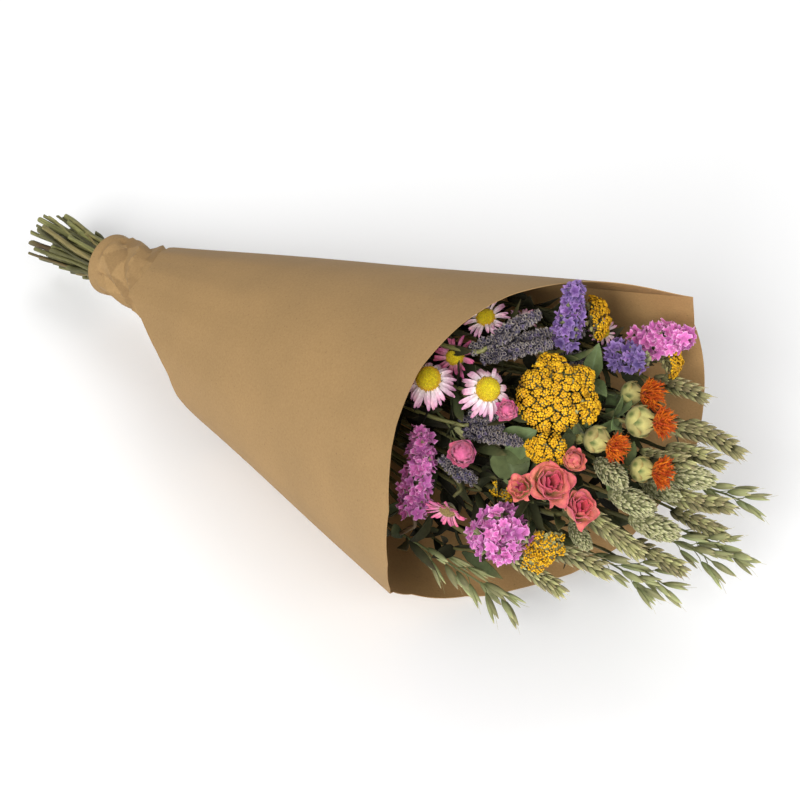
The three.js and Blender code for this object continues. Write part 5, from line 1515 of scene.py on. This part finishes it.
def oats_form(head):
    """Nodding husks in threes on hair-thin stalks along a bent stalk, each three with its awn."""
    form = Form()
    rng = dice(head["seed"])
    line = bezier(head["path"], 8)
    steps = len(line) - 1
    form.strand(line, span(0.85, 0.4, len(line)), 6, 0.4, high=0.2)
    husk = husk_pattern(keel=0.3, rows=7, sides=8)
    droop = np.array(head["droop"])
    last = head["branches"] - 1
    for i in range(head["branches"]):
        t = 1.0 if i == last else 0.16 + 0.8 * i / last
        at = min(int(t * steps), steps - 1)
        start = line[at]
        forward = unit(line[at + 1] - line[at])
        turn = i * GOLDEN + rng.uniform(0, 1)
        aside = np.array(polar(turn, 1))
        reach = 1.0 if i == last else rng.uniform(3, 7)
        knee = start + forward * reach + aside * (0 if i == last else reach * 0.7)
        hang = unit(forward + droop * 0.7 + aside * 0.4)
        size = head["husks"] * rng.uniform(0.92, 1.15)
        stalk = bezier([start, start + (knee - start) * 0.6 + forward, knee], 3)
        form.strand(stalk, 0.28, 4, rng.random(), high=0.2)
        for k, (open_by, wide, long) in enumerate(((0.1, 0.22, 1.0), (-0.11, 0.2, 0.93), (0.0, 0.14, 0.8))):
            direction = unit(hang + aside * open_by + rng.uniform(-0.03, 0.03, 3))
            grow = size * long
            shape = np.diag([grow * wide * 0.62, grow * wide, grow])
            aim = turn_to(direction) @ turn_z(turn + k * 0.5) @ shape
            form.once(husk, rng.random(), turn=aim, place=knee + aside * open_by * 2)
        tip = knee + hang * size * 0.85
        awn = bezier([knee + hang * size * 0.5, tip, tip + hang * size * 0.32 + aside * 1.2], 4)
        form.strand(awn, span(0.16, 0.05, len(awn)), 3, rng.random(), low=0.8)
    return form


# Leaves.
OUTLINES = {
    "heart": ((0, 0.16, 0.34, 0.55, 0.78, 0.92, 1.0), (0.34, 0.92, 1.0, 0.88, 0.5, 0.2, 0.02)),
    "lance": ((0, 0.2, 0.45, 0.7, 0.9, 1.0), (0.22, 0.74, 1.0, 0.74, 0.3, 0.03)),
}


def leaf_blade(length, breadth, outline, rng):
    """A leaf along +Y: folded at the midrib, raised between its side veins, waved at the edge."""
    fold, curl = 0.22, 0.14
    rows = []
    marks = []
    waves = rng.uniform(0, TURN, 2)
    for t in span(0, 1, 17):
        half = breadth / 2 * np.interp(t, *OUTLINES[outline])
        row = []
        for u in span(-1, 1, 11):
            vein = abs(math.sin((t * 9 - abs(u) * 2.2) * math.pi))
            ripple = math.sin(13 * t + waves[0]) + 0.6 * math.sin(23 * t + waves[1]) * np.sign(u)
            rise = half * fold * abs(u) - curl * length * t * t + 0.12 * vein * (1 - abs(u))
            rise += 0.35 * u * u * ripple
            row.append((u * half, t * length + 0.25 * abs(u) * math.sin(31 * t), rise))
            marks.append(1 - min(1, min(abs(u) * 7, vein * 3.2)))
        rows.append(row)
    return np.array(rows), np.tile(marks, 2)


def leaves_form(head):
    """A few leaves fanned out from one short stalk."""
    form = Form()
    rng = dice(head["seed"])
    form.strand([(0, 0, 0), (0, 0, 3.4)], 0.9, 6, 0.5)
    for turn, tilt, length in head["leaves"]:
        rows, marks = leaf_blade(length, length * head["breadth"], head["outline"], rng)
        pose = turn_z(math.radians(turn)) @ turn_x(math.pi / 2 - math.radians(tilt))
        form.sheet(rows @ pose.T + (0, 0, 2.2), sizes().petal * 1.3, rng.random(), marks)
    return form


def stalk_leaf(length, breadth, rng):
    """A small dry leaf along +Z, folded at its rib, twisted and curled."""
    rows = []
    curl = rng.uniform(-0.3, 0.5)
    twist = rng.uniform(-1.3, 1.3)
    for t in span(0, 1, 6):
        half = breadth / 2 * np.interp(t, (0, 0.2, 0.5, 0.8, 1), (0.15, 0.75, 1.0, 0.6, 0.04))
        c, s = math.cos(twist * t), math.sin(twist * t)
        droop = curl * length * t * t
        rows.append([
            (u * half * c, u * half * s + half * 0.45 * abs(u) - droop, t * length) for u in (-1, 0, 1)
        ])
    return blade(rows, 0.3)


def within_paper(place, margin):
    """Whether a place lies inside the cone of paper, with a margin."""
    along_axis = place @ AXIS
    radius = math.hypot(place @ LIFT, place @ SIDE)
    return radius < along_axis * math.tan(HALF_ANGLE) - margin and place[2] > FLAT_DEPTH + margin


def stalk_leaves_form(heads, number, deepest, length, breadth, spread, seed):
    """Leaves on the upper stems, which close the gaps between and under the heads."""
    form = Form()
    rng = dice(seed)
    for head in heads:
        foot, facing = foot_of(head), facing_of(head)
        placed = 0
        for _ in range(number * 6):
            below = rng.uniform(2, deepest)
            seat = foot - facing * min(below, KNEE_OUT) - AXIS * max(0, below - KNEE_OUT)
            aim = unit(facing * 0.6 + AXIS * 0.4 + rng.uniform(-spread, spread, 3))
            long = rng.uniform(*length)
            tip = seat + aim * long
            if (tip - foot) @ facing > -2 or not within_paper(tip, 4) or not within_paper(seat, 3):
                continue
            leaf = stalk_leaf(long, rng.uniform(*breadth), rng)
            pose = turn_to(aim) @ turn_z(rng.uniform(0, TURN))
            # the mark is how deep the leaf sits; the near-black finish of the stalk leaves darkens deeper
            # ones as painted shade
            form.once(leaf, rng.random(), below / deepest, pose, seat)
            placed += 1
            if placed == number:
                break
    return form


class BouquetOperator:
    bl_options = {"REGISTER", "UNDO"}

    def execute(self, context):
        self.build()
        return {"FINISHED"}


class BOUQUET_OT_wrap(BouquetOperator, bpy.types.Operator):
    """Rolls the kraft paper into its cone and gathers its neck"""
    bl_idname = "bouquet.wrap"
    bl_label = "Paper Wrap"

    def build(self):
        finish = paper_finish("kraft_paper", colour("paper_outer"), colour("paper_inner_painted_light"))
        form = sleeve_form()
        form.join(neck_form())
        make_piece(form, "paper_wrap_sheet", ["paper_wrap"], finish, 26)


class BOUQUET_OT_stems(BouquetOperator, bpy.types.Operator):
    """Runs the stems from their cut ends through the waist to every head, and ties them"""
    bl_idname = "bouquet.stems"
    bl_label = "Stems and Tie"

    def build(self):
        finish = stem_finish(
            "dry_stems",
            (colour("stem", 0.4), colour("stem"), (0.23, 0.225, 0.08)),
            ((0.20, 0.15, 0.055), (0.075, 0.042, 0.018)),
        )
        make_piece(stems_form(), "stem_bunch", ["stems"], finish)
        raffia = plant_finish("raffia", ((0, (0.42, 0.30, 0.14)), (1, (0.52, 0.40, 0.22))), fine=500,
                              streak=(1, 0.1, 1))
        make_piece(tie_form(), "raffia_tie", ["stem_tie"], raffia)


class BOUQUET_OT_yarrow(BouquetOperator, bpy.types.Operator):
    """Sets the florets and branched stalks of the yarrow"""
    bl_idname = "bouquet.yarrow"
    bl_label = "Yarrow"

    def build(self):
        florets = plant_finish(
            "yarrow_gold",
            ((0, (0.07, 0.04, 0.005)), (0.2, colour("yarrow", 0.5)), (0.4, colour("yarrow")),
             (1, (0.76, 0.42, 0.01))),
            # the mark darkens the florets in the gaps between groups: painted shade
            spread=0.18, hue=0.01, mark=((0.45, 1.0), colour("yarrow", 0.4)), roughness=0.75, soft=0.04,
        )
        stalks = plant_finish("yarrow_stalks", ((0, (0.20, 0.17, 0.07)), (1, (0.36, 0.33, 0.13))), spread=0.3)
        for head in heads_named("yarrow"):
            tops, forks = yarrow_forms(head)
            set_head(head, (tops, "florets", "yarrow", florets), (forks, "stalks", "stem", stalks))


class BOUQUET_OT_daisies(BouquetOperator, bpy.types.Operator):
    """Opens the everlasting daisies and shapes their buds"""
    bl_idname = "bouquet.daisies"
    bl_label = "Daisies"

    def build(self):
        pale = plant_finish(
            "daisy_petals",
            ((0, (0.80, 0.74, 0.64)), (0.4, (0.82, 0.66, 0.70)), (0.8, colour("petal_pale")),
             (1, (0.62, 0.26, 0.42))),
            spread=0.16, hue=0.015, fine=700, streak=(1, 1, 0.25), roughness=0.55, soft=0.1, strength=0.3,
        )
        hot = plant_finish(
            "hot_petals",
            ((0, (0.70, 0.42, 0.46)), (0.45, (0.70, 0.22, 0.36)), (1, colour("petal_hot"))),
            spread=0.18, fine=500, roughness=0.55, soft=0.2, strength=0.25,
        )
        discs = plant_finish("daisy_disc", ((0, colour("disc", 0.5)), (1, colour("disc"))), spread=0.12,
                             mark=((0.7, 1.0), (0.60, 0.30, 0.01)))
        seeds = plant_finish("daisy_seeds", ((0, (0.07, 0.045, 0.015)), (1, (0.34, 0.24, 0.08))), spread=0.3)
        cups = plant_finish("daisy_cup", ((0, (0.20, 0.20, 0.08)), (1, (0.40, 0.36, 0.20))), spread=0.25)
        for head in heads_named("daisy"):
            name = head["name"]
            if "length" in head:
                set_head(head, (bud_form(head), "bracts", "petal_hot", hot))
                continue
            label = name.replace("_petals", "")
            petals = hot if name in ("daisy_behind", "daisy_turned") else pale
            middle = seeds if name == "daisy_turned" else discs
            disc_nodes = [head["disc"]] if "disc" in head else []
            rays, cup = daisy_form(head), daisy_cup_form(head)
            seat = seating(head, rays, cup)
            make_piece(rays.moved(*seat), label + "_rays", [name], petals)
            make_piece(cup.moved(*seat), label + "_cup", [], cups)
            make_piece(disc_form(head).moved(*seat), label + "_middle", disc_nodes, middle)


class BOUQUET_OT_statice(BouquetOperator, bpy.types.Operator):
    """Crowds the ruffled florets of the statice along their sprays"""
    bl_idname = "bouquet.statice"
    bl_label = "Statice"

    def build(self):
        pink = plant_finish(
            "statice_pink",
            ((0, colour("statice_pink", 0.5)), (0.4, colour("statice_pink", 0.85)),
             (0.8, colour("statice_pink")), (1, (0.80, 0.40, 0.66))),
            spread=0.24, hue=0.012, roughness=0.6, soft=0.12,
        )
        purple = plant_finish(
            "statice_purple",
            ((0, colour("statice_purple", 0.45)), (0.5, colour("statice_purple", 0.8)),
             (1, (0.27, 0.17, 0.40))),
            spread=0.28, hue=0.02, roughness=0.6, soft=0.12,
        )
        greens = plant_finish("statice_calyces", ((0, (0.13, 0.15, 0.05)), (1, (0.34, 0.32, 0.16))),
                              spread=0.25)
        finishes = {"statice_pink": pink, "statice_purple": purple}
        for head in heads_named("statice"):
            kind = head["name"].rsplit("_", 1)[0]
            florets, calyces = statice_forms(head)
            set_head(head, (florets, "ruffles", kind, finishes[kind]), (calyces, "calyces", "stem", greens))


class BOUQUET_OT_lavender(BouquetOperator, bpy.types.Operator):
    """Sets whorls of small ribbed calyces on the lavender spikes"""
    bl_idname = "bouquet.lavender"
    bl_label = "Lavender"

    def build(self):
        finish = plant_finish(
            "lavender_calyces",
            ((0, (0.02, 0.015, 0.03)), (0.4, (0.075, 0.066, 0.085)), (0.72, colour("lavender", 0.6)),
             (1, (0.42, 0.36, 0.29))),
            spread=0.35, hue=0.03, mark=((0.7, 1.2), (0.10, 0.08, 0.18)), roughness=0.8, soft=0.04,
        )
        for head in heads_named("lavender"):
            set_head(head, (lavender_form(head), "spikes", "lavender", finish))


class BOUQUET_OT_roses(BouquetOperator, bpy.types.Operator):
    """Wraps the petals of the spray roses round their hearts"""
    bl_idname = "bouquet.roses"
    bl_label = "Roses"

    def build(self):
        petals = plant_finish(
            "rose_petals",
            ((0, (0.50, 0.42, 0.14)), (0.4, (0.76, 0.42, 0.18)), (0.72, (0.76, 0.24, 0.17)),
             (1, colour("rose"))),
            spread=0.14, hue=0.012, fine=420, streak=(1, 1, 0.25), roughness=0.6, soft=0.1,
            mark=((0.3, 1.2), (0.55, 0.035, 0.11)),
        )
        greens = plant_finish("rose_sepals", ((0, (0.13, 0.16, 0.05)), (1, (0.24, 0.24, 0.10))), spread=0.2)
        for head in heads_named("rose"):
            if "length" in head:
                set_head(head, (bud_form(head, 5), "petals", "rose", petals))
            else:
                whorls, sepals = rose_forms(head)
                set_head(head, (whorls, "petals", "rose", petals), (sepals, "sepals", "leaf", greens))


class BOUQUET_OT_safflower(BouquetOperator, bpy.types.Operator):
    """Closes the bracts of the safflower globes and spreads their orange tufts"""
    bl_idname = "bouquet.safflower"
    bl_label = "Safflower"

    def build(self):
        bracts = plant_finish(
            "safflower_bracts",
            ((0, (0.16, 0.17, 0.05)), (0.3, colour("globe")), (0.8, (0.46, 0.41, 0.14)),
             (1, (0.34, 0.24, 0.07))),
            spread=0.14, mark=((0.15, 0.9), (0.12, 0.15, 0.04)), fine=350, streak=(1, 1, 0.3), soft=0.05,
        )
        tufts = plant_finish(
            "safflower_orange",
            ((0, (0.34, 0.11, 0.008)), (0.5, colour("tuft")), (1, (0.64, 0.13, 0.005))),
            spread=0.3, hue=0.015, soft=0.04,
        )
        for head in heads_named("thistle"):
            globe = globe_form(head)
            seat = seating(head, globe)
            make_piece(globe.moved(*seat), head["name"] + "_bracts", [head["name"]], bracts)
            if "tuft" in head:
                node_name, radius, length = head["tuft"]
                tuft = tuft_form(radius, length, head["radius"] * 1.9 - 1.0, head["seed"] + 20)
                make_piece(tuft.moved(*seat), node_name + "_florets", [node_name], tufts)


class BOUQUET_OT_grasses(BouquetOperator, bpy.types.Operator):
    """Overlaps the husks of the canary grass, the wheat and the oats"""
    bl_idname = "bouquet.grasses"
    bl_label = "Grasses"

    def build(self):
        canary = plant_finish(
            "canary_husks",
            ((0, (0.07, 0.08, 0.03)), (0.35, (0.24, 0.25, 0.11)), (0.7, colour("grass")),
             (1, (0.60, 0.56, 0.36))),
            spread=0.2, fine=600, streak=(1, 1, 0.4), soft=0.04,
        )
        wheat = plant_finish(
            "wheat_husks",
            ((0, (0.05, 0.055, 0.02)), (0.4, colour("wheat", 0.75)), (0.8, colour("wheat", 1.15)),
             (1, (0.56, 0.48, 0.26))),
            spread=0.3, hue=0.02, fine=500, streak=(1, 1, 0.4), roughness=0.6, soft=0.04,
        )
        oat = plant_finish(
            "oat_husks",
            ((0, (0.10, 0.12, 0.04)), (0.5, colour("oat")), (0.85, colour("oat", 1.3)),
             (1, (0.50, 0.44, 0.22))),
            spread=0.24, hue=0.02, fine=420, streak=(0.3, 1, 1), roughness=0.55, soft=0.04,
        )
        kinds = {
            "canary": (canary_form, "husks", "grass", canary), "wheat": (wheat_form, "ear", "wheat", wheat),
            "oats": (oats_form, "husks", "oat", oat),
        }
        for kind, (grown, label, slot, finish) in kinds.items():
            for head in heads_named(kind):
                set_head(head, (grown(head), label, slot, finish))
        for head in FILLING:
            grown, _, slot, finish = kinds[head["name"].split("_")[0]]
            form = grown(head).moved(turn_to(facing_of(head)), foot_of(head))
            make_piece(form, head["name"], [], finish)


class BOUQUET_OT_leaves(BouquetOperator, bpy.types.Operator):
    """Fans out the leaves, with their veins and waved edges, and the near-black leaves on the stems, which
    are painted shade in the gaps
    """
    bl_idname = "bouquet.leaves"
    bl_label = "Leaves"

    def build(self):
        finish = plant_finish(
            "leaves",
            ((0, colour("leaf", 0.9)), (0.6, colour("leaf")), (1, colour("leaf", 1.25))),
            spread=0.2, mark=((0.4, 1.2), (0.16, 0.21, 0.10)), fine=300, roughness=0.65, soft=0.05,
        )
        for head in heads_named("leaf"):
            set_head(head, (leaves_form(head), "blades", "leaf", finish))
        # near-black leaves on the stems, darker the deeper they sit: painted shade in the gaps under the
        # heads
        shaded = plant_finish(
            "dry_stalk_leaves",
            ((0, (0.030, 0.036, 0.012)), (0.7, (0.062, 0.070, 0.024)), (1, (0.11, 0.10, 0.04))),
            spread=0.55, hue=0.035, mark=((0.1, 1.0), (0.016, 0.014, 0.008)), fine=420,
            roughness=0.75, soft=0.0,
        )
        painted_shade_leaves = stalk_leaves_form(
            HEADS, number=9, deepest=66, length=(15, 34), breadth=(5, 9), spread=0.75, seed=307,
        )
        make_piece(painted_shade_leaves, "stalk_leaves", [], shaded)
        fresh = plant_finish(
            "curled_leaves",
            ((0, colour("leaf", 0.6)), (0.6, colour("leaf", 1.05)), (1, colour("leaf", 1.5))),
            spread=0.35, hue=0.03, fine=380, roughness=0.65, soft=0.04,
        )
        curled = stalk_leaves_form(
            heads_named("thistle"), number=7, deepest=13, length=(12, 20), breadth=(6, 10), spread=1.3,
            seed=311,
        )
        make_piece(curled, "curled_leaves", [], fresh)


class BOUQUET_OT_stage(BouquetOperator, bpy.types.Operator):
    """Lays the pale floor, lights it softly and sets the camera"""
    bl_idname = "bouquet.stage"
    bl_label = "Stage"

    def build(self):
        scene = bpy.context.scene
        scene.view_settings.view_transform = "Standard"
        bpy.ops.mesh.primitive_plane_add(size=FLOOR_SIZE, location=(0, 0, 0))
        floor = bpy.context.active_object
        floor.name = "floor"
        material, shader = new_material("pale_floor")
        shader.inputs["Base Color"].default_value = (0.95, 0.95, 0.95, 1)
        shader.inputs["Roughness"].default_value = 0.9
        floor.data.materials.append(material)
        world = bpy.data.worlds.new("soft_world")
        scene.world = world
        world.use_nodes = True
        sky = world.node_tree.nodes["Background"]
        sky.inputs["Color"].default_value = (1, 1, 1, 1)
        sky.inputs["Strength"].default_value = 0.42
        target = Vector(np.array(VIEW_TARGET) * MM + SHIFT * MM)
        for name, offset, size, power in LIGHTS:
            light = bpy.data.lights.new(name, "AREA")
            light.size = size
            light.energy = power
            lamp = bpy.data.objects.new(name, light)
            lamp.location = target + Vector(offset)
            lamp.rotation_euler = (target - lamp.location).to_track_quat("-Z", "Y").to_euler()
            scene.collection.objects.link(lamp)
        lens = bpy.data.cameras.new("camera")
        lens.lens = VIEW_LENS
        lens.sensor_width = 36
        camera = bpy.data.objects.new("camera", lens)
        out = Vector(OUT)
        camera.location = target + out * VIEW_DISTANCE * MM
        camera.rotation_euler = (-out).to_track_quat("-Z", "Y").to_euler()
        scene.collection.objects.link(camera)
        scene.camera = camera


class BOUQUET_PT_panel(bpy.types.Panel):
    """Lists the steps that build the bouquet"""
    bl_idname = "BOUQUET_PT_panel"
    bl_label = "Wrapped Bouquet"
    bl_space_type = "VIEW_3D"
    bl_region_type = "UI"
    bl_category = "Bouquet"

    def draw(self, context):
        column = self.layout.column()
        for step in STEPS:
            column.operator(step.bl_idname)
        for group in (context.scene.bouquet_sizes, context.scene.bouquet_colours):
            for key in group.__annotations__:
                column.prop(group, key)


STEPS = (
    BOUQUET_OT_wrap, BOUQUET_OT_stems, BOUQUET_OT_yarrow, BOUQUET_OT_daisies, BOUQUET_OT_statice,
    BOUQUET_OT_lavender, BOUQUET_OT_roses, BOUQUET_OT_safflower, BOUQUET_OT_grasses, BOUQUET_OT_leaves,
    BOUQUET_OT_stage,
)
CLASSES = (BouquetSizes, BouquetColours, *STEPS, BOUQUET_PT_panel)


def register():
    for kind in CLASSES:
        bpy.utils.register_class(kind)
    bpy.types.Scene.bouquet_sizes = PointerProperty(type=BouquetSizes)
    bpy.types.Scene.bouquet_colours = PointerProperty(type=BouquetColours)


def unregister():
    del bpy.types.Scene.bouquet_colours
    del bpy.types.Scene.bouquet_sizes
    for kind in reversed(CLASSES):
        bpy.utils.unregister_class(kind)


def main():
    register()
    bpy.ops.bouquet.wrap()
    bpy.ops.bouquet.stems()
    bpy.ops.bouquet.yarrow()
    bpy.ops.bouquet.daisies()
    bpy.ops.bouquet.statice()
    bpy.ops.bouquet.lavender()
    bpy.ops.bouquet.roses()
    bpy.ops.bouquet.safflower()
    bpy.ops.bouquet.grasses()
    bpy.ops.bouquet.leaves()
    bpy.ops.bouquet.stage()


if __name__ == "__main__":
    main()
